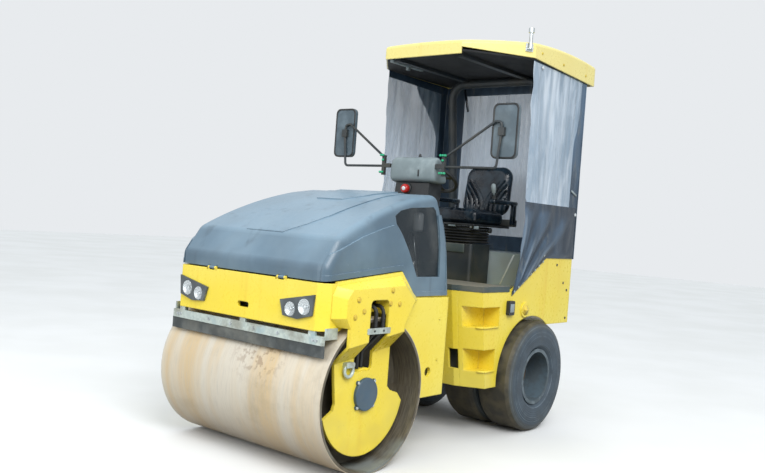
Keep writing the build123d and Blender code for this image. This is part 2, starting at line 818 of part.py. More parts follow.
# Mirrors: a post beside the cover carries two tubes that meet in a clamp on the head's back
mirror_x = body_front_x - 121
mirror_y = cover_half + 495
post_y = cover_half + 65
clamp_z = deck_z + 1090
mirror_arm = block(
    body_front_x - 90, body_front_x - 70, cover_half, post_y + 12, deck_z + 830, deck_z + 860
)
mirror_arm = mirror_arm + block(
    body_front_x - 92, body_front_x - 68, post_y - 12, post_y + 12, deck_z + 775, deck_z + 920
)
high_tube = [
    (body_front_x - 80, post_y, deck_z + 905),
    (mirror_x + 13, mirror_y - 45, deck_z + 1160),
    (mirror_x + 13, mirror_y, deck_z + 1152),
    (mirror_x + 13, mirror_y + 5, clamp_z),
]
low_tube = [
    (body_front_x - 80, post_y, deck_z + 842),
    (mirror_x + 13, mirror_y - 20, deck_z + 842),
    (mirror_x + 13, mirror_y + 5, clamp_z),
]
mirror_arm = mirror_arm + bent_tube(mirror_tube, high_tube, 20) + bent_tube(mirror_tube, low_tube, 28)
mirror_arm = mirror_arm + block(
    mirror_x, mirror_x + 26, mirror_y - 18, mirror_y + 28, clamp_z - 28, clamp_z + 28
)
keep("mirror_arms", both_sides(mirror_arm))
head = block(
    mirror_x - 24, mirror_x, mirror_y - 80, mirror_y + 120, deck_z + 908, deck_z + 1283
)
keep("mirror_heads", both_sides(fillet(head.edges().filter_by(Axis.X), 42)))

# Roll-over hoop with two rails that carry the roof
hoop_half = body_half - 230
hoop_foot_x = body_rear_x + 75
hoop_top_x = body_rear_x + 260
foot_wall = 18.0
rail_y = roof_nose_half - 82
rail_wide = 50.0
rail_high = 26.0
hoop_path = [
    (hoop_foot_x, -hoop_half, box_top_z + foot_wall - 2),
    (hoop_top_x, -hoop_half, liner_z - hoop_radius - 1),
    (hoop_top_x, hoop_half, liner_z - hoop_radius - 1),
    (hoop_foot_x, hoop_half, box_top_z + foot_wall - 2),
]
hoop = bent_tube(hoop_radius, hoop_path, 130)
foot = block(
    hoop_foot_x - 60, hoop_foot_x + 60, hoop_half - 60, hoop_half + 60, box_top_z, box_top_z + foot_wall
)
roof_rail = block(
    hoop_top_x, body_front_x - 160, rail_y, rail_y + rail_wide, liner_z - rail_high, liner_z
)
keep("rollover_frame", hoop + foot + other_side(foot) + roof_rail + other_side(roof_rail))

# Canopy roof: a moulded shell, crowned both ways, with its front drawn in to a narrow nose
roof_front_x = body_front_x - roof_ahead
roof_rear_x = body_rear_x - roof_tail
roof_shoulder_x = rear_axle_x + 260
roof_low_front_z = liner_z + 30
roof_low_rear_z = liner_z - 36
roof_lip_z = liner_z - 20
crown_z = liner_z + roof_crown
crown_x = rear_axle_x - 252
crown_bow = 4775.0
side_fall = 34.0


def roof_plan(inset):
    """The roof's outline in plan, drawn in by inset."""
    nose = roof_nose_half - 0.4 * inset
    half = roof_half - inset
    return [
        (roof_front_x - inset, -nose),
        (roof_front_x - inset, nose),
        (roof_shoulder_x - 0.4 * inset, half),
        (roof_rear_x + inset, half),
        (roof_rear_x + inset, -half),
        (roof_shoulder_x - 0.4 * inset, -half),
    ]


def roof_form(inset, low_front, low_rear):
    """The roof's closed form, drawn in by inset: a crown turned about a far axis, over a sloping edge."""
    half = roof_half + 10
    crown = crown_bow - inset
    with BuildLine() as section:
        ThreePointArc((0, -half, crown - side_fall), (0, 0, crown), (0, half, crown - side_fall))
        Polyline(
            (0, half, crown - side_fall), (0, half, crown - 500), (0, -half, crown - 500), (
                0, -half, crown - side_fall
            )
        )
    dome = Pos(crown_x, 0, crown_z - crown_bow) * revolve(make_face(section.line), axis=Axis.Y)
    under = side_prism(
        [
            (roof_rear_x - 50, low_rear),
            (roof_front_x + 50, low_front),
            (roof_front_x + 50, low_rear - 400),
            (roof_rear_x - 50, low_rear - 400),
        ],
        -half,
        half,
    )
    return (plan_prism(roof_plan(inset), liner_z - 300, crown_z + 100) & dome) - under


roof = roof_form(0, roof_low_front_z, roof_low_rear_z)
roof_top = roof.faces().sort_by(Axis.Z)[-1]
roof = fillet(roof_top.edges(), roof_round)
roof = roof - roof_form(roof_wall, liner_z - 200, liner_z - 200)
lip = block(
    roof_front_x - roof_wall,
    roof_front_x,
    -roof_nose_half,
    roof_nose_half,
    roof_lip_z,
    roof_low_front_z + 4,
)
keep("canopy_roof", roof + lip)
keep("canopy_liner", plan_prism(roof_plan(roof_wall + seat_gap), liner_z, liner_z + liner_wall))

# Rotating-lamp socket on the roof's edge
edge = Vector(roof_shoulder_x - roof_front_x, roof_half - roof_nose_half, 0).normalized()
socket_at = Vector(roof_front_x, roof_nose_half, 0) + edge * 500
socket = Plane(origin=socket_at, x_dir=edge, z_dir=(0, 0, 1)).location
socket_z = liner_z + 64
foot_plate = Pos(0, -3, socket_z + 12) * Box(56, 6, 56) + Pos(0, -17, socket_z) * Box(40, 30, 8)
stem = Pos(0, -24, socket_z + 56) * Cylinder(13, 112) + Pos(0, -24, socket_z + 128) * Cylinder(21, 32)
keep("lamp_socket", socket * (foot_plate + stem))

# Side curtains: cloth with a clear window above, hung inside the roof's edge
sheet = 7.0
curtain_y = body_half + soft_gap
curtain_top_z = liner_z - 4
clear_low_z = deck_z + 630
rear_edge_x = body_rear_x - 5
front_edge_x = roof_shoulder_x - 10
seam_front_x = roof_shoulder_x - 35
curtain_fall = 24.0
hem_lap = 16.0
hem_wide = 62.0
top_hem = 30.0
cloth_low_z = box_top_z - hem_lap
cloth_outline = [
    (front_edge_x, curtain_top_z),
    (rear_edge_x, curtain_top_z - curtain_fall),
    (rear_edge_x, cloth_low_z),
    (box_head_x + 3, cloth_low_z),
    (box_foot_x + 2, deck_z - 35),
    (seam_front_x, clear_low_z),
]
clear_rear_x = rear_edge_x + hem_wide
clear_outline = [
    (front_edge_x, curtain_top_z - top_hem),
    (clear_rear_x, curtain_top_z - top_hem - curtain_fall),
    (clear_rear_x - 6, clear_low_z),
    (seam_front_x, clear_low_z),
]
cloth = side_prism(cloth_outline, curtain_y, curtain_y + sheet)
top_rate = curtain_fall / (front_edge_x - clear_rear_x)
past_edge = 60.0
window_reach = [
    (front_edge_x + past_edge, curtain_top_z - top_hem + past_edge * top_rate),
    (clear_rear_x, curtain_top_z - top_hem - curtain_fall),
    (clear_rear_x - 6, clear_low_z),
    (seam_front_x + past_edge, clear_low_z),
]
window = side_prism(window_reach, curtain_y - 1, curtain_y + sheet + 1)
pane = side_prism(clear_outline, curtain_y + 1, curtain_y + sheet - 1)
keep("side_curtain_cloth", both_sides(cloth - window))
keep("side_curtain_windows", both_sides(pane))

# Rear curtain, with its window
rear_half = body_half - 20
window_half = 465.0
window_low_z = deck_z + 380
window_high_z = liner_z - 90
rear_x = body_rear_x - soft_gap
window_round = 60.0
rear_cloth = block(rear_x - sheet, rear_x, -rear_half, rear_half, cloth_low_z, liner_z - 10)
opening = block(rear_x - sheet - 5, rear_x + 5, -window_half, window_half, window_low_z, window_high_z)
keep("rear_curtain_cloth", rear_cloth - fillet(opening.edges().filter_by(Axis.X), window_round))
rear_pane = block(rear_x - sheet + 1, rear_x - 1, -window_half, window_half, window_low_z, window_high_z)
keep("rear_curtain_window", fillet(rear_pane.edges().filter_by(Axis.X), window_round))

# Hood: a hollow moulded cover with a proud lower side panel, hinged along its front lower edge
hood_half = frame_half - hood_inset
hood_front_x = frame_front_x - 11
hood_low_z = panel_top_z + 8
hood_rear_z = drum_top + 106
hood_rear_run = 97.0
hood_rear_x = frame_rear_x - 33
nose_z = panel_top_z + 248
crest_x = drum_axle_x - 445
crest_z = panel_top_z + 518
hood_top_z = panel_top_z + 546
nose_x = hood_front_x - 109
brow_z = panel_top_z + 88
mid_x = (nose_x + crest_x) / 2
bow_low_z = panel_top_z + 130
bow_high_z = hood_top_z + 20


def hood_form(half, inset):
    """The hood's closed form with rounded shoulders, drawn in by inset behind its skin."""
    with BuildLine() as outline:
        ThreePointArc((nose_x, half, nose_z), (mid_x, half, nose_z + 164), (crest_x, half, crest_z))
        Polyline(
            (crest_x, half, crest_z),
            (hood_rear_x + 158, half, hood_top_z),
            (hood_rear_x + hood_rear_run, half, hood_top_z),
            (hood_rear_x, half, hood_rear_z),
            (diagonal_low_x - 6, half, hood_rear_z),
            (diagonal_top_x - 2, half, drum_top + 264),
            (hood_front_x, half, hood_low_z),
            (hood_front_x - 2, half, brow_z),
            (nose_x, half, nose_z),
        )
    profile = make_face(outline.line)
    if inset:
        profile = offset(profile, amount=-inset, kind=Kind.INTERSECTION)
    form = extrude(profile, amount=2 * half, dir=(0, -1, 0))
    # each rounded corner of the profile, with its radius
    for x, z, bend in (
        (hood_rear_x + hood_rear_run, hood_top_z, 62),
        (hood_front_x - 2, brow_z, 80),
        (nose_x, nose_z, 90),
    ):
        corner = form.edges().filter_by(Axis.Y).sort_by_distance((x, 0, z))[0]
        form = fillet(corner, bend - inset)
    with BuildLine() as flank:
        ThreePointArc(
            (hood_rear_x - 50, half, bow_low_z),
            (hood_rear_x - 50, half - hood_lean / 4, (bow_low_z + bow_high_z) / 2),
            (hood_rear_x - 50, half - hood_lean, bow_high_z),
        )
        Polyline(
            (hood_rear_x - 50, half - hood_lean, bow_high_z),
            (hood_rear_x - 50, half + 90, bow_high_z),
            (hood_rear_x - 50, half + 90, bow_low_z),
            (hood_rear_x - 50, half, bow_low_z),
        )
    trim = extrude(make_face(flank.line), amount=hood_front_x - hood_rear_x + 100, dir=(1, 0, 0))
    form = form - trim - other_side(trim)
    shoulders = []
    for line in form.edges():
        middle = line @ 0.5
        along_side = abs(middle.Y) > half - hood_lean - 5 and abs((line % 0.5).Y) < 0.3
        at_front = middle.X > hood_front_x - 3 and middle.Z > hood_low_z + 2
        at_rear = middle.X < hood_rear_x + 100 and middle.Z > hood_rear_z + 2
        crossing = abs(middle.Z - bow_low_z) < 1 and abs((line % 0.5).X) > 0.9
        if along_side and not crossing and (at_front or at_rear or middle.Z > nose_z - 60):
            shoulders.append(line)
    return fillet(shoulders, hood_round - inset)


# The proud lower side panel ends above in a ledge that falls to the front, and goes round the window
panel_outline = [
    (hood_front_x + 20, hood_low_z - 40),
    (hood_front_x + 20, panel_top_z + 118),
    (hood_front_x - 64, panel_top_z + 162),
    (hood_front_x - 141, panel_top_z + 196),
    (hood_front_x - 304, panel_top_z + 262),
    (hood_front_x - 477, panel_top_z + 314),
    (drum_axle_x - 178, panel_top_z + 340),
    (drum_axle_x - 212, panel_top_z + 334),
    (drum_axle_x - 252, panel_top_z + 286),
    (drum_axle_x - 312, panel_top_z + 197),
    (drum_axle_x - 412, panel_top_z + 33),
    (hood_rear_x + 134, panel_top_z + 33),
    (hood_rear_x + 150, panel_top_z + 425),
    (hood_rear_x + 60, panel_top_z + 425),
    (hood_rear_x - 30, hood_rear_z - 40),
]
window_outline = [
    (drum_axle_x - 412, panel_top_z + 33),
    (hood_rear_x + 134, panel_top_z + 33),
    (hood_rear_x + 154, panel_top_z + 450),
    (hood_rear_x + 175, panel_top_z + 470),
    (drum_axle_x - 370, panel_top_z + 452),
    (drum_axle_x - 265, panel_top_z + 430),
    (drum_axle_x - 205, panel_top_z + 396),
    (drum_axle_x - 212, panel_top_z + 350),
    (drum_axle_x - 252, panel_top_z + 286),
    (drum_axle_x - 312, panel_top_z + 197),
]
core = hood_form(hood_half - panel_proud, 0)
full = hood_form(hood_half, 0)
hollow = hood_form(hood_half - panel_proud - hood_wall, hood_wall)
hollow = hollow + Pos(0, 0, -2.2 * hood_wall) * hollow
panel = full & side_prism(panel_outline, hood_half - 36, hood_half + 5)
# Two raised panels on top, the front one wider to the rear, and a proud lip
# along the side panel's lower edge
front_raise = 6.0
rear_raise = 13.0
front_half_plan = shifted([(293, 155), (185, 240), (44, 300), (-170, 322), (-605, 330)], drum_axle_x, 0)
rear_half_plan = shifted([(-250, 110), (-374, 194), (-640, 250)], drum_axle_x, 0)
front_plan = front_half_plan + [(x, -y) for x, y in reversed(front_half_plan)]
rear_plan = rear_half_plan + [(x, -y) for x, y in reversed(rear_half_plan)]
raised = Pos(0, 0, front_raise) * core & plan_prism(front_plan, panel_top_z + 60, hood_top_z + 60)
raised = raised + (
    Pos(0, 0, rear_raise) * core & plan_prism(rear_plan, panel_top_z + 60, hood_top_z + 60)
)
lip_high_z = 30.0
lip_outline = [
    (hood_front_x + 20, hood_low_z - 40),
    (hood_front_x + 20, hood_low_z + lip_high_z),
    (diagonal_top_x - 14, drum_top + 264 + lip_high_z + 4),
    (diagonal_low_x - 22, hood_rear_z + lip_high_z),
    (hood_rear_x + 60, hood_rear_z + lip_high_z),
    (hood_rear_x + 90, hood_top_z - 90),
    (hood_rear_x - 30, hood_top_z - 90),
    (hood_rear_x - 30, hood_rear_z - 40),
]
proud = hood_form(hood_half + lip_proud, 0)
edge_lip = proud & side_prism(lip_outline, hood_half - 36, hood_half + lip_proud + 5)
shell = (core + panel + other_side(panel) + edge_lip + other_side(edge_lip) + raised) - hollow
slat_half = 380.0
slat_pitch = 44.0
slat_high = 18.0
slat_rows = 9
slat_first_z = hood_rear_z + 130
rear_rate = hood_rear_run / (hood_top_z - hood_rear_z)
for row in range(slat_rows):
    slat_z = slat_first_z + slat_pitch * row
    slat_x = hood_rear_x + rear_rate * (slat_z - hood_rear_z)
    shell = shell + block(slat_x - 9, slat_x + 5, -slat_half, slat_half, slat_z, slat_z + slat_high)
window_cut = side_prism(window_outline, hood_half - 140, hood_half + 20)
pane = (core & window_cut) - hollow
shell = shell - window_cut - other_side(window_cut)
for y in (-hinge_y, hinge_y):
    shell = shell - axle_disc(
        hinge_radius + 5, y - hinge_half - 18, y + hinge_half + 18, hinge_x, hinge_z
    )
    barrel = axle_disc(hinge_radius, y - hinge_half, y + hinge_half, hinge_x, hinge_z)
    leaf = block(
        hood_front_x - 14, hood_front_x, y - hinge_half, y + hinge_half, hinge_z + 2, hinge_z + 40
    )
    bore = axle_disc(hinge_pin + seat_gap, y - hinge_half - 5, y + hinge_half + 5, hinge_x, hinge_z)
    shell = shell + barrel + leaf - bore
keep("hood", shell)
keep("hood_windows", both_sides(pane))

# Engine: one plain block on the rails
engine_rear_x = frame_rear_x + 345
engine_front_x = frame_front_x - 225
engine_low_z = drum_top + 50
engine = block(engine_rear_x, engine_front_x, -330, 330, engine_low_z, panel_top_z + 238)
keep(
    "engine_block",
    engine + block(engine_rear_x, engine_front_x, -560, 560, engine_low_z, engine_low_z + 12),
)

# Headlamps: five-sided bezels on the front panel, each with an outer and an inner lens
bezel_deep = 14.0
bezel_corners = [(-264, -117), (-2, -65), (-13, -181), (-124, -211), (-235, -203)]
lens_rows = [(-75, -139, 46), (-182, -162, 41)]
lamp_y = corner_y
lamp_z = panel_top_z
bezel_face = Polyline(*[(frame_front_x, lamp_y + y, lamp_z + z) for y, z in bezel_corners], close=True)
bezel = extrude(make_face(bezel_face), amount=bezel_deep, dir=(1, 0, 0))
lenses = []
for y, z, radius in lens_rows:
    lens = Pos(frame_front_x + 8, lamp_y + y, lamp_z + z) * Rot(0, 90, 0) * Cylinder(radius, 16)
    bezel = bezel - lens
    lenses.extend(both_sides(lens))
keep("lamp_bezels", both_sides(bezel))
keep("lamp_lenses", lenses)

# Spray bar on three hangers, with the front scraper below it, and the rear scraper
bar_half = half_drum - 45
bar_x = frame_front_x - 25
bar_low_z = drum_top - 143
bar_high = 50.0
scraper_high = 67.0
spray_bar = block(bar_x, bar_x + 22, -bar_half, bar_half, bar_low_z, bar_low_z + bar_high)
for y in (85 - bar_half, 0, bar_half - 85):
    spray_bar = spray_bar + block(bar_x + 4, bar_x + 20, y - 25, y + 25, bar_low_z + 43, panel_low_z)
end_bracket = block(
    bar_x - 88, bar_x + 1, frame_half + seat_gap, frame_half + 14, bar_low_z + 32, panel_low_z + 20
)
spray_bar = spray_bar + end_bracket + other_side(end_bracket)
keep("spray_bar", spray_bar)
strip_half = half_drum - 35
keep(
    "front_scraper",
    block(bar_x + 8, bar_x + 16, -strip_half, strip_half, bar_low_z - scraper_high, bar_low_z),
)
scraper_half = frame_half - 40
scraper_x = cross_x + cross_deep
scraper = block(
    scraper_x, scraper_x + 75, -scraper_half, scraper_half, drum_radius + 110, drum_radius + 140
)
keep(
    "rear_scraper",
    scraper - axle_disc(drum_radius + turn_gap, -half_drum, half_drum, drum_axle_x, drum_radius),
)

# Lamps on the rear frame, and the filler cap
marker_front_x = body_front_x - 416
marker = block(marker_front_x - 76, marker_front_x, body_half, body_half + 26, deck_z - 165, deck_z - 63)
keep("marker_lamps", both_sides(fillet(marker.edges().filter_by(Axis.Y), 12)))
tail_lamp = block(
    body_rear_x - 30, body_rear_x, body_half - 190, body_half - 60, deck_z + 120, deck_z + 180
)
keep("tail_lamps", both_sides(fillet(tail_lamp.edges().filter_by(Axis.X), 10)))
filler_radius = 55.0
keep("filler_cap", axle_disc(filler_radius, body_half, body_half + 9, rear_axle_x + 110, deck_z - 135))

os.makedirs("parts", exist_ok=True)
for name, shape in parts.items():
    export_step(shape, "parts/" + name + ".step")
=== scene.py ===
# %% [markdown]
# A combination road roller. The machine's measured model is loaded first, and
# stays where it is. Everything below dresses it: paint, rubber, cloth and glass
# as finishes, and the seat, the curtains, the lamps and the small fittings as
# pieces of their own.

# %% Load the measured model
import json
import math

import bmesh
import bpy
from mathutils import Matrix, Vector, noise

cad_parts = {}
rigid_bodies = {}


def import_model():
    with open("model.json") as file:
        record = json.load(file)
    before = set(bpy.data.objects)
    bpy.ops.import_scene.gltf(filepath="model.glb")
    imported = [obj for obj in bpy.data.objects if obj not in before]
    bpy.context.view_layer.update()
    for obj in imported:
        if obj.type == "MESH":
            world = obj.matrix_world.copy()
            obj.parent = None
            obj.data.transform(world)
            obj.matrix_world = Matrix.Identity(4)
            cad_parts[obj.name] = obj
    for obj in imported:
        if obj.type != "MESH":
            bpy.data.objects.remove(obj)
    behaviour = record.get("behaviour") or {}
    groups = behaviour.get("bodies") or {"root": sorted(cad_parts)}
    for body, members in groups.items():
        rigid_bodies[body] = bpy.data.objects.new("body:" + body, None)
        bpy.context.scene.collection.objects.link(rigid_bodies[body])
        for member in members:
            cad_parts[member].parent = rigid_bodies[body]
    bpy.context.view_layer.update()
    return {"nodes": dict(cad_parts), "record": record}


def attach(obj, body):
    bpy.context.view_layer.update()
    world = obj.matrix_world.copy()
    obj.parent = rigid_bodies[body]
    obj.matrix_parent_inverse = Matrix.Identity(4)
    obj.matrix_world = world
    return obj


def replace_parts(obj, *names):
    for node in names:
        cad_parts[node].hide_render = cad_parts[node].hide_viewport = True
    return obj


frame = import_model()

nodes = frame["nodes"]

# %% [markdown]
# The camera stands where the photographer stood: a little in front of the
# machine, to its left, at eye height, and tilted a few degrees. Its turn is
# given by three plain angles, worked out from the drum, tyres and lamps.

# %% Camera
eye = Vector((4.774, 3.725, 1.445))
yaw, pitch, roll = (math.radians(a) for a in (-140.8, -0.97, 4.23))
ahead = Vector((math.cos(yaw) * math.cos(pitch), math.sin(yaw) * math.cos(pitch), math.sin(pitch)))
level = Vector((math.sin(yaw), -math.cos(yaw), 0))
upright = level.cross(ahead)
right = level * math.cos(roll) + upright * math.sin(roll)
up = upright * math.cos(roll) - level * math.sin(roll)
camera = bpy.data.objects.new("camera", bpy.data.cameras.new("camera"))
camera.matrix_world = Matrix((
    (right.x, up.x, -ahead.x, eye.x),
    (right.y, up.y, -ahead.y, eye.y),
    (right.z, up.z, -ahead.z, eye.z),
    (0, 0, 0, 1),
))
camera.data.lens = 39.9
camera.data.sensor_width = 36
camera.data.clip_end = 100
bpy.context.collection.objects.link(camera)
bpy.context.scene.camera = camera
print("camera lens", camera.data.lens, "mm, at", tuple(round(v, 2) for v in eye))

# %% [markdown]
# Light under a bright, hazy sky comes from everywhere, and a bit more from one
# side. A pale world does the first, brighter overhead than near the ground, and
# two large soft lamps do the second.
# The world is a paler colour to the camera and to glossy paint than it is as a
# lamp, so the background stays light and the paint keeps its own colour.

# %% Sky
def srgb(red, green, blue):
    """A screen colour from 0 to 255, as the linear colour that shaders use."""
    shares = [c / 255 for c in (red, green, blue)]
    linear = [c / 12.92 if c <= 0.04045 else ((c + 0.055) / 1.055) ** 2.4 for c in shares]
    return (*linear, 1.0)


def add_node(tree, kind, settings=None, inputs=None):
    """Add a node: its settings, then each input as a value or as a link from a socket."""
    node = tree.nodes.new(kind)
    for key, value in (settings or {}).items():
        setattr(node, key, value)
    for key, value in (inputs or {}).items():
        if isinstance(value, bpy.types.NodeSocket):
            tree.links.new(value, node.inputs[key])
        else:
            node.inputs[key].default_value = value
    return node


world = bpy.data.worlds.new("hazy sky")
bpy.context.scene.world = world
world.use_nodes = True
sky = world.node_tree
sky.nodes.clear()


def sky_node(kind, settings, inputs, out=0):
    return add_node(sky, kind, settings, inputs).outputs[out]


rays = add_node(sky, "ShaderNodeLightPath").outputs
larger = {"operation": "MAXIMUM"}
eye_or_gloss = sky_node("ShaderNodeMath", larger, {0: rays["Is Camera Ray"], 1: rays["Is Glossy Ray"]})
looked_at = sky_node("ShaderNodeMath", larger, {0: eye_or_gloss, 1: rays["Is Transmission Ray"]})
direction = sky_node("ShaderNodeTexCoord", {}, {}, "Generated")
height = sky_node("ShaderNodeSeparateXYZ", {}, {0: direction}, "Z")
reach = {"Value": height, "From Min": -0.15, "From Max": 0.75, "To Min": 0.20, "To Max": 1.25}
strength = sky_node("ShaderNodeMapRange", {}, reach, "Result")
lamp_sky = sky_node("ShaderNodeBackground", {}, {"Color": (0.93, 0.97, 1.0, 1), "Strength": strength})
seen_sky = sky_node("ShaderNodeBackground", {}, {"Color": srgb(232, 235, 238), "Strength": 1.0})
blend_sky = sky_node("ShaderNodeMixShader", {}, {0: looked_at, 1: lamp_sky, 2: seen_sky})
add_node(sky, "ShaderNodeOutputWorld", {}, {0: blend_sky})
print("sky in", len(sky.nodes), "nodes")

# %% Lamps
# each lamp: name, where it stands, its width in metres and its power in watts
lamps = [("sun side", (4.0, 5.5, 6.0), 4.0, 500), ("front fill", (7.0, -1.0, 3.0), 5.0, 150)]
light_aim = Vector((0.2, 0, 1.0))
for name, place, width, power in lamps:
    lamp = bpy.data.lights.new(name, "AREA")
    lamp.size = width
    lamp.energy = power
    lamp_object = bpy.data.objects.new(name, lamp)
    lamp_object.location = place
    lamp_object.rotation_euler = (light_aim - Vector(place)).to_track_quat("-Z", "Y").to_euler()
    bpy.context.collection.objects.link(lamp_object)
bpy.context.scene.view_settings.view_transform = "Standard"
print(len(lamps), "soft lamps")

# %% [markdown]
# A finish on a real machine is never one colour: paint fades and chips, dust
# settles low down, rubber greys. Each finish here is worked out from a point's
# place on the machine. The class below wraps one socket of a shader, so that
# such sums can be written as plain arithmetic.

# %% Sums on shader sockets
class Wire:
    """One output socket, on which arithmetic adds its own Math nodes."""

    def __init__(self, finish, socket):
        self.finish = finish
        self.socket = socket

    def __add__(self, other):
        return self.finish.sum("ADD", self, other)

    def __sub__(self, other):
        return self.finish.sum("SUBTRACT", self, other)

    def __rsub__(self, other):
        return self.finish.sum("SUBTRACT", other, self)

    def __mul__(self, other):
        return self.finish.sum("MULTIPLY", self, other)

    __radd__ = __add__
    __rmul__ = __mul__

    def to(self, power):
        return self.finish.sum("POWER", self, power)

    def clipped(self):
        return self.finish.sum("ADD", self, 0.0, clamp=True)

    def step(self, low, high):
        """A smooth rise from 0 at low to 1 at high, or a fall if low is more than high."""
        smooth = {"interpolation_type": "SMOOTHSTEP"}
        return self.finish.add("ShaderNodeMapRange", smooth, {0: self, 1: low, 2: high, 3: 0.0, 4: 1.0})


print("sockets can be added, subtracted and multiplied")

# %% A finish under construction
class Finish:
    """A material, with short names for the nodes that are common here."""

    def __init__(self, name):
        self.material = bpy.data.materials.new(name)
        self.material.use_nodes = True
        self.tree = self.material.node_tree
        self.tree.nodes.clear()
        self.place = self.add("ShaderNodeTexCoord", {}, {}, "Object")
        split = self.add("ShaderNodeSeparateXYZ", {}, {0: self.place})
        self.x, self.y, self.z = (Wire(self, out) for out in split.socket.node.outputs)

    def add(self, kind, settings, inputs, out=0):
        """Add any node, and give one of its outputs."""
        plain = {key: value.socket if isinstance(value, Wire) else value for key, value in inputs.items()}
        return Wire(self, add_node(self.tree, kind, settings, plain).outputs[out])

    def sum(self, operation, first, second=0.0, clamp=False):
        """One Math node, for two values or sockets."""
        return self.add("ShaderNodeMath", {"operation": operation, "use_clamp": clamp}, {0: first, 1: second})

    def spots(self, scale, detail=3.0, stretch=(1, 1, 1), rough=0.55):
        """Soft noise, mostly from 0.3 to 0.7, drawn out or shrunk along each axis."""
        spread = self.add("ShaderNodeMapping", {}, {0: self.place, 3: stretch})
        return self.noise(spread, scale, detail, Roughness=rough)

    def noise(self, where, scale, detail, **more):
        """Noise over any coordinates."""
        return self.add("ShaderNodeTexNoise", {}, {"Vector": where, "Scale": scale, "Detail": detail, **more})

    def mix(self, mask, first, second):
        """Colour first where the mask is 0, second where it is 1."""
        return self.add("ShaderNodeMix", {"data_type": "RGBA"}, {0: mask, 6: first, 7: second}, 2)

    def radius(self, x, z):
        """Distance from an axle along Y."""
        across, rise = self.x - x, self.z - z
        return (across * across + rise * rise).to(0.5)

    def bump(self, height, depth, base=None):
        """A bumped normal: height from 0 to 1, over a depth in metres."""
        inputs = {"Height": height, "Distance": depth, "Strength": 1.0}
        if base:
            inputs["Normal"] = base
        return self.add("ShaderNodeBump", {}, inputs)

    def shade(self, **inputs):
        """The principled shader and the output; a name's underscores stand for spaces."""
        named = {key.replace("_", " "): value for key, value in inputs.items()}
        shader = self.add("ShaderNodeBsdfPrincipled", {}, named)
        add_node(self.tree, "ShaderNodeOutputMaterial", {}, {0: shader.socket})
        return self.material


print("finishes can be built")

# %% [markdown]
# Most of the machine is painted or moulded in one colour, and ages in the same
# way: the tone wanders a little, the edges rub pale or bare, thin streaks run
# down, and dust gathers near the ground. So one recipe makes the yellow body,
# the grey hood, the black frame and the deck, each with its own numbers. The
# Bevel node rounds the sharp edges of the measured model for the light alone.

# %% A recipe for worn paint
road_dust = srgb(150, 138, 112)
rub_share = 0.35


def painted(
    name, tones, rub, dust=0.5, dust_top=0.75, gloss=0.34, round_edge=0.004, grain=0.0, bleach=None, top_wear_and_sheen=None
):
    """A worn painted finish: tones are its dark, middle and pale colours."""
    coat = Finish(name)
    dark, middle, pale = tones
    wander = coat.spots(1.6, 4.0).step(0.38, 0.66)
    colour = coat.mix(wander, middle, pale)
    if bleach:
        sunned = coat.z.step(2.0, 2.55) * 0.6 + coat.z.step(0.9, 1.15) * 0.12
        colour = coat.mix(sunned, colour, bleach)
    # Upward faces get the pale top colour: on the hood it is a painted highlight where the sky lights the top, on
    # the deck it is wear.
    if top_wear_and_sheen:
        normal = coat.add("ShaderNodeNewGeometry", {}, {}, "Normal")
        upward = coat.add("ShaderNodeSeparateXYZ", {}, {0: normal}, "Z")
        colour = coat.mix(upward.step(0.25, 0.95) * 0.55, colour, top_wear_and_sheen)
    streak = coat.spots(9.0, 4.0, (1, 1, 0.06)).step(0.56, 0.78)
    colour = coat.mix(streak * 0.45, colour, dark)
    soft = coat.add("ShaderNodeBevel", {"samples": 4}, {"Radius": round_edge})
    hard = coat.add("ShaderNodeNewGeometry", {}, {}, "Normal")
    facing = coat.add("ShaderNodeVectorMath", {"operation": "DOT_PRODUCT"}, {0: soft, 1: hard}, "Value")
    edge = (1 - facing).step(0.005, 0.09)
    scuff = coat.spots(38.0, 5.0)
    rubbed = (edge * scuff.step(0.5, 0.62)).clipped() * rub_share
    colour = coat.mix(rubbed, colour, rub)
    specks = coat.spots(95.0, 2.0).step(0.70, 0.76) * coat.spots(3.0, 2.0).step(0.45, 0.65)
    colour = coat.mix(specks * 0.55, colour, rub)
    low = coat.z.step(dust_top, 0.15)
    patches = coat.spots(5.5, 5.0).step(0.36, 0.70)
    settled = (low * 0.75 + 0.25) * patches * dust
    colour = coat.mix(settled, colour, road_dust)
    rough = settled * 0.4 + scuff * 0.14 + (gloss - 0.05)
    height = coat.spots(420.0, 2.0) * grain + scuff * 0.25
    normal = coat.bump(height, 0.0004, soft)
    return coat.shade(Base_Color=colour, Roughness=rough, Normal=normal)


print("the recipe rubs edges with a share of", rub_share)

# %% Painted finishes
yellow_paint = painted(
    "worn yellow paint",
    (srgb(226, 186, 36), srgb(242, 218, 64), srgb(244, 226, 90)),
    rub=srgb(120, 105, 60),
    dust=0.15,
    gloss=0.26,
    round_edge=0.009,
    bleach=srgb(232, 222, 156),
)
hood_grey = painted(
    "weathered grey moulding",
    (srgb(52, 70, 84), srgb(78, 101, 118), srgb(104, 128, 145)),
    rub=srgb(172, 186, 194),
    dust=0.16,
    dust_top=1.3,
    gloss=0.33,
    grain=0.4,
    # painted highlight: the hood's upward faces are paler, as the sky lights them
    top_wear_and_sheen=srgb(132, 158, 176),
)
dark_paint = painted(
    "dark frame paint",
    (srgb(16, 20, 22), srgb(30, 37, 41), srgb(44, 52, 57)),
    rub=srgb(120, 110, 95),
    dust=0.40,
    dust_top=0.9,
    gloss=0.45,
)
cap_grey = painted(
    "slate hub paint",
    (srgb(44, 62, 76), srgb(60, 84, 102), srgb(82, 106, 124)),
    rub=srgb(150, 145, 130),
    dust=0.3,
    gloss=0.45,
)
deck_slate = painted(
    "worn slate deck",
    (srgb(32, 46, 48), srgb(48, 64, 66), srgb(66, 82, 82)),
    rub=srgb(176, 170, 150),
    dust=0.5,
    dust_top=1.6,
    gloss=0.45,
    # the deck's paler top is wear
    top_wear_and_sheen=srgb(158, 150, 132),
)
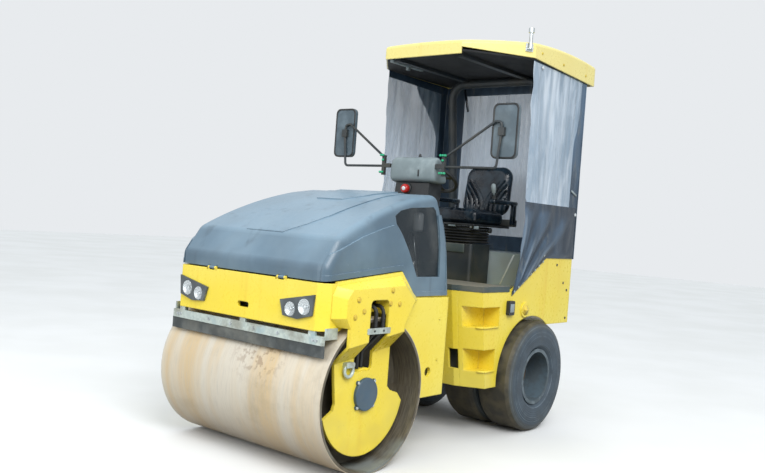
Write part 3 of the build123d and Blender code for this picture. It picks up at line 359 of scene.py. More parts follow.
dirty_bolt = painted(
    "dirty yellow bolts",
    (srgb(176, 146, 40), srgb(214, 184, 56), srgb(232, 208, 84)),
    rub=srgb(64, 54, 36),
    dust=0.2,
)
print("six painted finishes")

# %% [markdown]
# Black plastic, vinyl and rubber differ mostly in their grain. Plastic has a
# fine pebble, vinyl has the creases of leather, and both grey where hands and
# weather reach them. A cell pattern makes the pebble and the creases.

# %% Plastic, vinyl and rubber
def grained(name, dark, pale, cell, depth, gloss, crease=0.0, dust=0.12):
    """A black moulded or coated surface with a cell grain, in metres between cells."""
    skin = Finish(name)
    to_edge = {"feature": "DISTANCE_TO_EDGE"}
    cells = skin.add("ShaderNodeTexVoronoi", to_edge, {"Vector": skin.place, "Scale": 1 / cell})
    pebble = cells.step(0.0, 0.25)
    worn = skin.spots(7.0, 4.0).step(0.40, 0.70)
    colour = skin.mix(worn, dark, pale)
    film = skin.spots(2.4, 5.0).step(0.48, 0.75) * dust
    colour = skin.mix(film, colour, srgb(150, 150, 140))
    folds = skin.spots(16.0, 4.0, (1, 1, 1), 0.6)
    height = pebble * 0.5 + folds * crease
    soft = skin.add("ShaderNodeBevel", {"samples": 4}, {"Radius": 0.003})
    rough = worn * 0.10 + film * 0.6 + gloss - pebble * 0.05
    return skin.shade(Base_Color=colour, Roughness=rough, Normal=skin.bump(height, depth, soft))


black_plastic = grained("grained black plastic", srgb(26, 29, 31), srgb(44, 48, 51), 0.0022, 0.0003, 0.45)
light_plastic = grained(
    "sun-faded grey plastic", srgb(118, 132, 136), srgb(148, 162, 166), 0.0025, 0.0003, 0.50, dust=0.2
)
mirror_shell = grained("grey mirror shell", srgb(74, 90, 100), srgb(102, 118, 128), 0.0025, 0.0003, 0.42)
black_vinyl = grained(
    "creased black vinyl", srgb(14, 23, 32), srgb(38, 54, 66), 0.0035, 0.0002, 0.15, crease=0.35, dust=0.0
)
scraper_rubber = grained(
    "dusty scraper rubber", srgb(48, 54, 56), srgb(92, 98, 98), 0.006, 0.0004, 0.66, dust=0.5
)
black_rubber = grained("matt black rubber", srgb(22, 24, 25), srgb(48, 50, 50), 0.004, 0.0003, 0.62, dust=0.3)
# the lining's near-black is partly its own dark colour and partly painted shade under the roof
roof_lining = grained("dark roof lining", srgb(4, 6, 9), srgb(10, 13, 17), 0.006, 0.0004, 0.75, dust=0.02)
bezel_grey = grained("grey lamp surround", srgb(62, 70, 74), srgb(92, 100, 102), 0.0025, 0.0003, 0.42)
print("eight grained finishes")

# %% [markdown]
# The drum is bare rolled steel. It polishes where it meets the ground and
# carries the road's dust in faint bands round it, so its pattern is drawn out
# along the rolling direction: the angle about the axle is a coordinate here.
# Inside, the shell is dark and stained by water.

# %% Drum steel
drum_x, drum_z = 1.025, 0.45
shell = Finish("dusty rolled steel")
angle = shell.sum("ARCTAN2", shell.z - drum_z, shell.x - drum_x)
out_from_axle = shell.radius(drum_x, drum_z)
wrapped = shell.add("ShaderNodeCombineXYZ", {}, {0: shell.y * 14, 1: angle * 0.5, 2: out_from_axle})
bands = shell.noise(wrapped, 0.42, 3.0)
fine = shell.noise(wrapped, 9.0, 5.0)
blotch = shell.spots(3.6, 6.0, (1, 1, 1), 0.62)
steel = shell.mix(bands.step(0.40, 0.66), srgb(208, 201, 186), srgb(206, 184, 146))
steel = shell.mix(fine.step(0.44, 0.72) * 0.45, steel, srgb(186, 180, 168))
steel = shell.mix(blotch.step(0.48, 0.72) * 0.45, steel, srgb(160, 148, 126))
near_stain = ((shell.y - 0.16).to(2) + (shell.z - 0.70).to(2)).to(0.5).step(0.30, 0.08)
stain = shell.spots(26.0, 4.0).step(0.50, 0.62) * near_stain
stain = stain + shell.spots(34.0, 3.0).step(0.70, 0.78) * 0.4
steel = shell.mix(stain.clipped() * 0.55, steel, srgb(132, 106, 82))
# darker and browner towards the bottom: partly road dirt, partly painted shade where the ground hides the sky
steel = shell.mix(shell.z.step(0.34, 0.02) * 0.45, steel, srgb(150, 130, 104))
shell_inner = 0.4455
inside = out_from_axle.step(shell_inner + 0.002, shell_inner)
inner_tone = shell.mix(fine.step(0.35, 0.65), srgb(58, 54, 46), srgb(96, 90, 74))
wet = shell.spots(2.3, 3.0).step(0.46, 0.62) * shell.z.step(0.55, 0.15)
inner_tone = shell.mix(wet * 0.75, inner_tone, srgb(128, 138, 138))
steel = shell.mix(inside * 0.92, steel, inner_tone)
hub_dirt = (out_from_axle.step(0.43, 0.40) * shell.spots(8.0, 4.0).step(0.3, 0.6)) * 0.7
steel = shell.mix(hub_dirt, steel, srgb(74, 70, 60))
soft_steel = shell.add("ShaderNodeBevel", {"samples": 4}, {"Radius": 0.005})
drum_steel = shell.shade(
    Base_Color=steel,
    Metallic=0.25 - inside * 0.15,
    Roughness=blotch * 0.3 + 0.30 + inside * 0.2,
    Normal=shell.bump(fine * 0.6 + blotch * 0.4, 0.0006, soft_steel),
)
print("drum finish in", len(shell.tree.nodes), "nodes")

# %% [markdown]
# The tyres are smooth ones. Their tread is browned by the road, and their sides
# are a blue-grey, with fine mould rings round them. The distance from
# the axle tells tread from side, and a sine of it gives the rings. The wheel
# itself has a slate barrel and a muddy brown disc.

# %% Tyre rubber
axle_x, axle_z = -0.785, 0.40
wheel = Finish("muddy wheel")
in_wheel = wheel.radius(axle_x, axle_z)
mud = wheel.spots(14.0, 5.0).step(0.40, 0.62)
barrel = wheel.mix(mud * 0.35, srgb(88, 104, 114), srgb(58, 56, 50))
hub = wheel.mix(mud, srgb(44, 37, 28), srgb(112, 88, 62))
rim_paint = wheel.shade(
    Base_Color=wheel.mix(in_wheel.step(0.160, 0.172), hub, barrel),
    Roughness=mud * 0.4 + 0.28,
    Normal=wheel.bump(mud * 0.5 + wheel.spots(60.0) * 0.3, 0.0010),
)
tyre = Finish("road-worn tyre rubber")
from_axle = tyre.radius(axle_x, axle_z)
tread = from_axle.step(0.376, 0.392)
mottle = tyre.spots(11.0, 6.0)
side_tone = tyre.mix(mottle.step(0.30, 0.75), srgb(54, 66, 76), srgb(72, 86, 98))
side_tone = tyre.mix(tyre.spots(2.2, 3.0).step(0.5, 0.72) * 0.25, side_tone, srgb(100, 104, 102))
side_tone = tyre.mix(from_axle.step(0.340, 0.372) * 0.5, side_tone, srgb(84, 84, 76))
tread_tone = tyre.mix(mottle.step(0.35, 0.68), srgb(52, 50, 42), srgb(86, 81, 65))
for ring_at in (0.2285, 0.2985, 0.3285, 0.3690):
    near_ring = from_axle.step(ring_at - 0.0025, ring_at) * from_axle.step(ring_at + 0.0025, ring_at)
    side_tone = tyre.mix(near_ring * mottle.step(0.3, 0.6) * 0.5, side_tone, srgb(132, 146, 156))
rubber = tyre.mix(tread, side_tone, tread_tone)
rings = tyre.sum("SINE", from_axle * 420) * 0.5 + 0.5
tyre_angle = tyre.sum("ARCTAN2", tyre.z - axle_z, tyre.x - axle_x)
fluted_band = from_axle.step(0.296, 0.300) * from_axle.step(0.326, 0.322)
fluting = (tyre.sum("SINE", tyre_angle * 150) * 0.5 + 0.5) * fluted_band
ringed = from_axle.step(0.24, 0.25) * from_axle.step(0.372, 0.362) * tyre.spots(3.0).step(0.3, 0.5)
tyre_rubber = tyre.shade(
    Base_Color=rubber,
    Roughness=mottle * 0.2 + 0.55,
    Normal=tyre.bump(rings * ringed * 0.6 + fluting * 0.8 + mottle * 0.2, 0.0018),
)
print("tyre finish in", len(tyre.tree.nodes), "nodes")

# %% [markdown]
# Zinc, bare steel, glass and lenses. Zinc has large pale flakes, which a cell
# pattern gives, and it stains brown along its seams. Glass is a thin sheet of
# its own colour: it is made partly see-through with Alpha, and keeps its gloss.

# %% Metal and glass
zinc = Finish("stained zinc")
flakes = zinc.add("ShaderNodeTexVoronoi", {"feature": "F1"}, {"Vector": zinc.place, "Scale": 70.0}, "Color")
flake_tone = zinc.add("ShaderNodeSeparateColor", {}, {0: flakes})
grime = zinc.spots(7.0, 6.0).step(0.46, 0.66)
zinc_colour = zinc.mix(flake_tone * 0.6, srgb(172, 184, 180), srgb(206, 216, 208))
zinc_colour = zinc.mix(zinc.spots(5.0, 3.0).step(0.5, 0.62) * 0.5, zinc_colour, srgb(150, 178, 186))
zinc_colour = zinc.mix(grime * 0.5, zinc_colour, srgb(118, 108, 88))
galvanised = zinc.shade(
    Base_Color=zinc_colour,
    Metallic=0.45 - grime * 0.3,
    Roughness=flake_tone * 0.15 + grime * 0.3 + 0.35,
    Normal=zinc.bump(zinc.spots(60.0), 0.0003),
)

bare = Finish("bright worked steel")
brushed = bare.noise(bare.place, 160.0, 2.0)
bare_steel = bare.shade(
    Base_Color=bare.mix(bare.spots(12.0).step(0.5, 0.7) * 0.5, srgb(190, 196, 198), srgb(128, 122, 110)),
    Metallic=0.85,
    Roughness=brushed * 0.2 + 0.2,
    Normal=bare.bump(brushed, 0.0002),
)


def glazing(name, colour, alpha, gloss, film=0.15, metallic=0.0):
    """A thin clear or tinted sheet, with a film of dust that dulls it."""
    sheet = Finish(name)
    haze = sheet.spots(5.0, 5.0, (1, 1, 0.5)).step(0.42, 0.75)
    return sheet.shade(
        Base_Color=sheet.mix(haze * film, colour, srgb(186, 188, 180)),
        Alpha=haze * film + alpha,
        Roughness=haze * film + gloss,
        Metallic=metallic,
        Normal=sheet.bump(sheet.spots(9.0, 2.0), 0.0006),
    )


tinted_glass = glazing("smoked window glass", srgb(34, 46, 54), 0.46, 0.07, film=0.14)
lamp_glass = glazing("clear lamp glass", srgb(236, 242, 246), 0.16, 0.03, film=0.1)
red_lens = glazing("red lens", srgb(176, 22, 16), 1.0, 0.2, film=0.12)
mirror_glass = glazing("mirror glass", srgb(205, 214, 220), 1.0, 0.03, film=0.12, metallic=1.0)
reflector = glazing("lamp reflector", srgb(196, 202, 204), 1.0, 0.14, film=0.22, metallic=1.0)
white_glass = glazing("tail glass", srgb(214, 222, 226), 0.9, 0.1)
print("zinc, steel and six kinds of glass")

# %% [markdown]
# The weather curtains are two sheets sewn together. The clear one is soft
# vinyl, creased and streaked milky where rain has dried. The other is a coated
# cloth, dark grey with a fine weave and streaks of pale dust, with a painted
# highlight on the ridges of its folds and painted shade in their valleys.

# %% Curtain sheets
vinyl = Finish("streaked clear vinyl")
drawn = vinyl.add("ShaderNodeMapping", {}, {0: vinyl.place, 3: (1.0, 1.0, 0.16)})
run = vinyl.noise(drawn, 13.0, 6.0, Distortion=0.6)
cloudy = vinyl.spots(2.6, 4.0, (1, 1, 0.7)).step(0.34, 0.66)
milk = (run.step(0.40, 0.70) * 0.65 + cloudy * 0.35).clipped()
crease = vinyl.noise(drawn, 7.0, 3.0, Distortion=1.2)
clear_vinyl = vinyl.shade(
    Base_Color=vinyl.mix(milk, srgb(162, 186, 208), srgb(222, 234, 246)),
    Alpha=milk * 0.26 + 0.48,
    Roughness=milk * 0.3 + 0.16,
    Normal=vinyl.bump(crease, 0.012),
)

cloth = Finish("coated curtain cloth")
threads = 2600
weave = cloth.sum("SINE", cloth.z * threads) * cloth.sum("SINE", (cloth.x + cloth.y) * threads)
weave = weave * 0.5 + 0.5
faded = cloth.spots(4.0, 5.0, (1, 1, 0.35)).step(0.40, 0.72)
cloth_colour = cloth.mix(faded, srgb(45, 64, 82), srgb(80, 104, 128))
dusty = cloth.spots(14.0, 5.0, (1, 1, 0.3)).step(0.58, 0.76)
cloth_colour = cloth.mix(dusty * 0.5, cloth_colour, srgb(128, 130, 126))
# painted highlight: the skirt's fold ridges, read from its fold attribute, are paler
ridge = cloth.add("ShaderNodeAttribute", {"attribute_name": "fold"}, {}, "Fac")
cloth_colour = cloth.mix(ridge.step(0.62, 1.0) * 0.55, cloth_colour, srgb(138, 156, 174))
# painted shade: the valleys between the folds are darker
valley = ridge.step(0.42, 0.06) * ridge.step(0.0, 0.02)
cloth_colour = cloth.mix(valley * 0.6, cloth_colour, srgb(30, 36, 44))
dark_fabric = cloth.shade(
    Base_Color=cloth_colour,
    Roughness=faded * 0.1 + 0.40,
    Normal=cloth.bump(weave * 0.3 + cloth.spots(30.0, 4.0) * 0.7, 0.0010),
)
print("two curtain finishes")

# %% [markdown]
# Each part of the measured model whose shape is right keeps its shape and gets
# its finish here. The first table pairs the record's finish slots with the
# finishes, and the second names the parts that have one of their own.

# %% Dress the measured parts
slots = {
    "yellow_paint": yellow_paint, "grey_plastic": hood_grey, "dark_paint": dark_paint, "drum_steel": drum_steel,
    "bare_steel": bare_steel, "galvanised": galvanised, "tyre_rubber": tyre_rubber, "black_rubber": black_rubber,
    "black_vinyl": black_vinyl, "black_plastic": black_plastic, "light_plastic": light_plastic,
    "clear_vinyl": clear_vinyl, "dark_fabric": dark_fabric, "tinted_glass": tinted_glass, "lamp_glass": lamp_glass,
    "red_lens": red_lens, "mirror_shell": mirror_shell, "rim_paint": rim_paint,
}
own_finish = {
    "hub_caps": cap_grey, "canopy_liner": roof_lining, "front_scraper": scraper_rubber,
    "platform_deck": deck_slate, "lamp_bezels": bezel_grey,
}


def placed(name, mesh):
    """Put a mesh in the scene as an object at the machine's own origin."""
    thing = bpy.data.objects.new(name, mesh)
    bpy.context.collection.objects.link(thing)
    return thing


def dress(thing, finish):
    """Give a mesh one finish all over."""
    thing.data.materials.clear()
    thing.data.materials.append(finish)


for part in frame["record"]["subparts"]:
    name = part["node"]
    dress(nodes[name], own_finish.get(name, slots[part["material_slot"]]))
print("dressed", len(nodes), "measured parts")

# %% [markdown]
# The floor is a pale, plain sheet that catches the machine's shadow. To light
# that bounces off it, it is as dark as the paving that such a machine stands
# on, so the undersides stay dark, and only to the eye it is pale.

# %% Floor
floor_finish = Finish("pale floor")
pale = floor_finish.mix(floor_finish.spots(0.7, 3.0).step(0.3, 0.7), srgb(222, 223, 222), srgb(228, 229, 229))
eye_ray, shiny_ray, through_ray = (
    floor_finish.add("ShaderNodeLightPath", {}, {}, f"Is {kind} Ray")
    for kind in ("Camera", "Glossy", "Transmission")
)
shown = floor_finish.mix((eye_ray + shiny_ray + through_ray).clipped(), srgb(128, 124, 116), pale)
pale_floor = floor_finish.shade(Base_Color=shown, Roughness=0.9)
floor_mesh = bpy.data.meshes.new("floor")
floor_mesh.from_pydata([(-30, -30, 0), (30, -30, 0), (30, 30, 0), (-30, 30, 0)], [], [(0, 1, 2, 3)])
floor = placed("floor", floor_mesh)
dress(floor, pale_floor)
print("floor laid")

# %% [markdown]
# Every fitting below is a mesh that lies where it belongs, on an object at the
# machine's own origin, and rides on one of the machine's bodies. These helpers
# make such an object from a bmesh, from boxes, from turned profiles or from a
# grid. A piece has the finish of its slot, unless it is given one of its own.

# %% Helpers for pieces
def closed_mesh(name, shape):
    """Turn a bmesh's faces outwards, and make it a mesh."""
    bmesh.ops.recalc_face_normals(shape, faces=shape.faces[:])
    mesh = bpy.data.meshes.new(name)
    shape.to_mesh(mesh)
    shape.free()
    return mesh


def riding(name, mesh, body, slot, smooth, finish=None):
    """Put a mesh in the scene as a piece that rides on a body."""
    thing = placed(name, mesh)
    for face in mesh.polygons:
        face.use_smooth = smooth
    dress(thing, slots[slot] if finish is None else finish)
    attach(thing, body)
    return thing


def fitting(name, shape, body, slot, smooth=True, finish=None):
    """Close a bmesh into a piece that rides on a body."""
    return riding(name, closed_mesh(name, shape), body, slot, smooth, finish)


print("a bmesh becomes a piece on a body")

# %% Turned and boxed shapes
def joined(shape, low, high):
    """Add the faces between two rings of equally many corners."""
    count = len(low)
    for i in range(count):
        shape.faces.new((low[i], low[(i + 1) % count], high[(i + 1) % count], high[i]))


def lofted(shape, rings):
    """Add the faces over a stack of rings, and close both ends."""
    for low, high in zip(rings, rings[1:]):
        joined(shape, low, high)
    shape.faces.new(rings[0][::-1])
    shape.faces.new(rings[-1])


def turned(shape, profile, centre, axis, sides=32):
    """Add an outline of (along, radius) points, turned about an axis through a centre."""
    turn = Vector((0, 0, 1)).rotation_difference(Vector(axis)).to_matrix()
    angles = [2 * math.pi * k / sides for k in range(sides)]
    rows = []
    for along, radius in profile:
        ring = [turn @ Vector((radius * math.cos(a), radius * math.sin(a), along)) for a in angles]
        rows.append([shape.verts.new(Vector(centre) + p) for p in ring])
    lofted(shape, rows)


def slab(shape, low, high, rounding=0.0, segments=3):
    """Add a box between two corners, with its edges rounded."""
    size = Vector(high) - Vector(low)
    middle = (Vector(high) + Vector(low)) / 2
    stretch = Matrix.Translation(middle) @ Matrix.Diagonal((*size, 1))
    made = bmesh.ops.create_cube(shape, size=1.0, matrix=stretch)
    if rounding:
        edges = list({e for v in made["verts"] for e in v.link_edges})
        bmesh.ops.bevel(shape, geom=edges, offset=rounding, segments=segments, profile=0.5, affect="EDGES")


def sides(make):
    """Call make with 1 for the machine's left side and -1 for its right."""
    return [make(1), make(-1)]


def side_name(side):
    return "left" if side > 0 else "right"


def boxed(name, rows, body, slot, smooth=True, finish=None):
    """A piece of rounded boxes, each given as its slab's values."""
    shape = bmesh.new()
    for row in rows:
        slab(shape, *row)
    return fitting(name, shape, body, slot, smooth, finish)


def lathed(name, rows, body, slot, finish=None):
    """A piece of turned shapes, each given as its outline, centre, axis and sides."""
    shape = bmesh.new()
    for row in rows:
        turned(shape, *row)
    return fitting(name, shape, body, slot, finish=finish)


print("shapes can be lofted, turned and boxed")

# %% [markdown]
# A weather curtain hangs from the roof's edge. Its upper part is clear vinyl and
# its lower part coated cloth, both laced to a dark hem at the rear. It is made
# as a grid that follows the cut of the sheet, and the folds are added as waves
# across it: fine upright creases above, and slow deep folds below, fading out
# where the sheet is held.

# %% Cut of the side curtains
side_y = 0.664
sheet_top, seam_z, hem_z = 2.668, 1.650, 1.262
front_top, front_seam, front_foot = -0.535, -0.560, -0.468
front_foot_z = 0.985
rear_edge, foot_bend = -1.366, -0.935


def curtain_x(u, z):
    """Where the curtain's share u from front to rear lies, at a height."""
    if z > seam_z:
        front = front_seam + (front_top - front_seam) * (z - seam_z) / (sheet_top - seam_z)
    else:
        front = front_foot + (front_seam - front_foot) * (z - front_foot_z) / (seam_z - front_foot_z)
    return front + (rear_edge - front) * u


def curtain_foot(x):
    """The height of the sheet's lower edge."""
    if x < foot_bend:
        return hem_z
    return hem_z + (front_foot_z - hem_z) * (x - foot_bend) / (front_foot - foot_bend)


def foot_of(u):
    """The lower edge at a share of the sheet's width, found by a few steps."""
    z = hem_z
    for _ in range(12):
        z = curtain_foot(curtain_x(u, z))
    return z + 0.004


print("the sheet's foot is", round(foot_of(0), 3), "m up in front and", round(foot_of(1), 3), "m at the rear")

# %% Sheets as grids
def sheet_grid(columns, rows, place):
    """A bmesh sheet: place gives a point from its shares across and down."""
    shape = bmesh.new()
    lines = [
        [shape.verts.new(place(i / columns, j / rows)) for i in range(columns + 1)] for j in range(rows + 1)
    ]
    for upper, lower in zip(lines, lines[1:]):
        for i in range(columns):
            shape.faces.new((upper[i], upper[i + 1], lower[i + 1], lower[i]))
    return shape


def thicken(thing, thickness):
    """Give a sheet its thickness."""
    wall = thing.modifiers.new("wall", "SOLIDIFY")
    wall.thickness = thickness
    wall.offset = 0.0
    return thing


def area_of(shape):
    return sum(face.calc_area() for face in shape.faces)


print("a sheet is a grid of points")

# %% Folds
def ease(value, low, high):
    """0 below low, 1 above high, and a soft rise between."""
    share = max(0.0, min(1.0, (value - low) / (high - low)))
    return share * share * (3 - 2 * share)


def wave(x, z, seed, fine):
    """Folds from -1 to 1: slow ones, and fine ones by the share asked for."""
    slow = noise.noise(Vector((x * 5.5, z * 0.9, seed)))
    quick = noise.noise(Vector((x * 21.0 + slow * 2, z * 1.7, seed + 7)))
    cross = noise.noise(Vector((x * 7.0 + z * 5.0, z * 7.0, seed + 3)))
    return slow * (1 - fine) + quick * fine + cross * 0.25


# where the folds of the skirt meet, below its lower front corner
gather_x, gather_z = -0.45, 0.93


def fan_fold(x, z, seed):
    """Folds of the skirt, 0 to 1, which gather towards its lower front corner."""
    reach_x = gather_x - x
    reach_z = z - gather_z
    turn = math.atan2(reach_z, reach_x)
    away = math.hypot(reach_x, reach_z)
    ripple = math.sin(turn * 19 + 2.4 * noise.noise(Vector((x * 2.2, z * 2.2, seed))))
    small = math.sin(turn * 47 + 3 * noise.noise(Vector((x * 4.0, z * 4.0, seed + 5))))
    return (0.5 + 0.36 * ripple + 0.14 * small) * ease(away, 0.04, 0.25) * (1 - 0.5 * ease(away, 0.5, 0.95))


def stand_off(x, z, seed):
    """How far a side curtain bulges from its flat sheet."""
    held = ease(sheet_top - z, 0.0, 0.12)
    upper = 0.008 * wave(x, z, seed, 0.65) * held
    lower = 0.026 * fan_fold(x, z, seed) * ease(z - curtain_foot(x), 0.0, 0.05)
    near_seam = ease(z, seam_z - 0.14, seam_z + 0.06)
    at_rear = ease(x, rear_edge, rear_edge + 0.05)
    slack = 0.010 * (0.5 + 0.5 * math.sin(x * 34 + 3 * noise.noise(Vector((x * 3, z * 2, seed)))))
    lower = max(lower, slack * ease(-0.9 - x, 0.0, 0.2) * ease(z - curtain_foot(x), 0.0, 0.05))
    return (upper * near_seam + lower * (1 - near_seam)) * at_rear


def fold_share(point, seed):
    """How folded the skirt is at a point: not at its rear edge, nor at its seam."""
    free = ease(point.x, rear_edge, -1.0)
    return fan_fold(point.x, point.z, seed) * free * ease(seam_z + 0.02 - point.z, 0.0, 0.12)


print("the left skirt stands off by", round(stand_off(-0.7, 1.3, 11.0), 3), "m near its middle")

# %% Hang the side curtains
def side_curtain(side):
    seed = 11.0 if side > 0 else 23.0
    name = side_name(side)

    def hem_start(z):
        """The share at which the dark hem begins: on the right its top sweeps far forward."""
        if side > 0:
            return 0.93 - 0.09 * ease(2.45 - z, 0.0, 0.35)
        return 0.85 - 0.40 * ease(z, 2.20, 2.66)

    def at(u, z, proud):
        x = curtain_x(u, z) + 0.020 * noise.noise(Vector((z * 7.0, seed, 0))) * max(0.0, 1 - u * 3)
        return Vector((x, side * (side_y + stand_off(x, z, seed) + proud), z))

    def clear_place(s, t):
        u = s * 0.965 if side > 0 else s * 0.9
        low = seam_z - 0.006 + 0.05 * max(0.0, 1 - s * 12) ** 2
        z = (sheet_top - 0.022 * u) * (1 - t) + low * t
        return at(u, z, 0.0)

    def skirt_place(s, t):
        return at(s, (seam_z + 0.016) * (1 - t) + foot_of(s) * t, 0.0016)

    def hem_place(s, t):
        z = (sheet_top - 0.022) * (1 - t) + (seam_z + 0.01) * t
        start = hem_start(z)
        return at(start + (1 - start) * s, z, 0.0014)

    def band_place(s, t):
        z = (sheet_top - 0.008 * s + 0.008) * (1 - t) + (sheet_top - 0.022 * s - 0.045) * t
        return at(s, z, -0.0016)

    cuts = (
        ("curtain_band_", 80, 6, band_place, 0.0012, "dark_fabric", None),
        ("curtain_clear_", 96, 110, clear_place, 0.0008, "clear_vinyl", "side_curtain_windows"),
        ("curtain_skirt_", 110, 80, skirt_place, 0.0012, "dark_fabric", "side_curtain_cloth"),
        ("curtain_hem_", 30, 110, hem_place, 0.0014, "dark_fabric", None),
    )
    for title, columns, rows, place, thickness, slot, node in cuts:
        shape = sheet_grid(columns, rows, place)
        area = area_of(shape)
        piece = thicken(fitting(title + name, shape, "rear_frame", slot), thickness)
        if title == "curtain_skirt_":
            # the fold share is kept on the skirt for the cloth's painted highlights and shade
            fold = piece.data.attributes.new("fold", "FLOAT", "POINT")
            shares = [fold_share(v.co, seed) for v in piece.data.vertices]
            fold.data.foreach_set("value", [0.03 + 0.97 * share for share in shares])
        if node:
            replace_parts(piece, node)
        holder = "curtain_clear_" + name if title == "curtain_skirt_" else "canopy_roof"
        sheet_cuts[title + name]
        print(piece.name, "is", round(area, 3), "square metres of sheet")


# the rectangle that each sheet is cut from: its width and height in metres
sheet_cuts = {
    "curtain_clear_left": (0.83, 1.07),
    "curtain_clear_right": (0.78, 1.07),
    "curtain_skirt_left": (0.95, 0.75),
    "curtain_skirt_right": (0.95, 0.75),
    "curtain_hem_left": (0.17, 1.05),
    "curtain_band_left": (0.86, 0.06),
    "curtain_band_right": (0.86, 0.06),
    "curtain_hem_right": (0.42, 1.05),
}
sides(side_curtain)

# %% [markdown]
# The rear curtain is one sheet of cloth with a large clear window sewn in. The
# same grid, laid across the machine, makes both, with gentler folds.

# %% Rear curtain
rear_x, rear_top = -1.369, 2.666
rear_seed, rear_depth = 31.0, 0.005


def rear_sheet(columns, rows, half, low, high):
    """A grid across the machine's rear, which folds least where it is held."""
    def place(s, t):
        y, z = half * (2 * s - 1), high * (1 - t) + low * t
        free = min(1, (rear_top - z) * 6, (z - hem_z) * 6 + 0.1)
        return Vector((rear_x - rear_depth * wave(y, z, rear_seed, 0.3) * free, y, z))

    return sheet_grid(columns, rows, place)


def in_window(face):
    centre = face.calc_center_median()
    return abs(centre.y) < 0.465 and 1.40 < centre.z < 2.586


back_sheet = rear_sheet(120, 130, 0.671, 1.264, 2.664)
bmesh.ops.delete(back_sheet, geom=[f for f in back_sheet.faces if in_window(f)], context="FACES")
back_area = area_of(back_sheet)
back_cloth = thicken(fitting("rear_curtain", back_sheet, "rear_frame", "dark_fabric"), 0.0018)
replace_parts(back_cloth, "rear_curtain_cloth")
pane_sheet = rear_sheet(90, 100, 0.475, 1.39, 2.596)
pane_area = area_of(pane_sheet)
back_pane = thicken(fitting("rear_window", pane_sheet, "rear_frame", "clear_vinyl"), 0.0006)
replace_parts(back_pane, "rear_curtain_window")
print("rear curtain", round(back_area, 2), "and window", round(pane_area, 2), "square metres")

# %% [markdown]
# The seat is foam under glossy black vinyl. A pad is started a little smaller
# than it ends, remeshed evenly, and puffed up by the cloth simulation's air
# pressure with no gravity; how far each point may go is capped. Then the sewn
# ribs are pressed in: on the back they run up from the seat and turn outwards
# to both shoulders, which leaves the top smooth.

# %% Puffing a pad
pad_voxel = 0.0055


def puffed(thing, cap):
    """Blow a closed pad up by air pressure, each point by no more than cap."""
    remesh = thing.modifiers.new("even", "REMESH")
    remesh.mode = "VOXEL"
    remesh.voxel_size = pad_voxel
    even = bpy.data.meshes.new_from_object(thing.evaluated_get(bpy.context.evaluated_depsgraph_get()))
    thing.modifiers.clear()
    thing.data = even
    start = [v.co.copy() for v in even.vertices]
    air = thing.modifiers.new("air", "CLOTH")
    air.settings.use_pressure = True
    air.settings.uniform_pressure_force = 4
    air.settings.effector_weights.gravity = 0
    for step in range(1, 21):
        bpy.context.scene.frame_set(step)
    blown = thing.evaluated_get(bpy.context.evaluated_depsgraph_get()).to_mesh()
    ends = [v.co.copy() for v in blown.vertices]
    thing.modifiers.clear()
    bpy.context.scene.frame_set(1)
    for vertex, begin, end in zip(even.vertices, start, ends):
        move = end - begin
        if move.length > cap:
            move *= cap / move.length
        vertex.co = begin + move
    return thing


def relaxed(thing):
    """Even out the small steps that the remesh leaves."""
    shape = bmesh.new()
    shape.from_mesh(thing.data)
    axes = {"use_axis_x": True, "use_axis_y": True, "use_axis_z": True}
    bmesh.ops.smooth_vert(shape, verts=shape.verts, factor=0.5, **axes)
    shape.to_mesh(thing.data)
    shape.free()
    for face in thing.data.polygons:
        face.use_smooth = True


def rib(across, pitch, depth):
    """How deep a seam is pressed in, at a distance across the round ribs."""
    phase = abs((across / pitch) % 1.0 - 0.5) * 2
    return depth * max(0.0, phase - 0.45) ** 2 / 0.3


print("pads are remeshed every", pad_voxel * 1000, "mm")

# %% Seat cushion
seat_y = 0.02
seat = bmesh.new()
slab(seat, (-0.990, seat_y - 0.229, 1.4885), (-0.568, seat_y + 0.229, 1.583), 0.034, 5)
cushion = fitting("seat_pad", seat, "rear_frame", "black_vinyl")
puffed(cushion, 0.010)
for vertex in cushion.data.vertices:
    x, y, z = vertex.co
    aside = abs(y - seat_y)
    top = ease(z, 1.540, 1.568)
    crown = 0.006 * max(0.0, 1 - (aside / 0.21) ** 2)
    groove = 0.006 * max(0.0, 1 - abs(x + 0.655) / 0.008) + 0.005 * max(0.0, 1 - abs(aside - 0.168) / 0.007)
    ribbed = ease(0.160 - aside, 0.0, 0.01) * ease(-0.675 - x, 0.0, 0.01)
    vertex.co.z += top * (crown - groove - ribbed * rib(x, 0.045, 0.012))
relaxed(cushion)
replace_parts(cushion, "seat_cushion")
print("cushion has", len(cushion.data.polygons), "faces")

# %% Seat back
back_x, back_z, lean = -1.004, 1.548, 0.128


def back_place(across, up, through):
    """A point of the seat's back: across it, up it, and through it to the rear."""
    return Vector((back_x - lean * up - through, seat_y + across, back_z + up))


def rounded_outline(half_wide, half_high, radius, steps=7):
    """Points round a rectangle with round corners."""
    reach_a, reach_b = half_wide - radius, half_high - radius
    points = []
    for cx, cy, start in ((1, 1, 0), (-1, 1, 90), (-1, -1, 180), (1, -1, 270)):
        for k in range(steps + 1):
            a = math.radians(start + 90 * k / steps)
            points.append((cx * reach_a + radius * math.cos(a), cy * reach_b + radius * math.sin(a)))
    return points


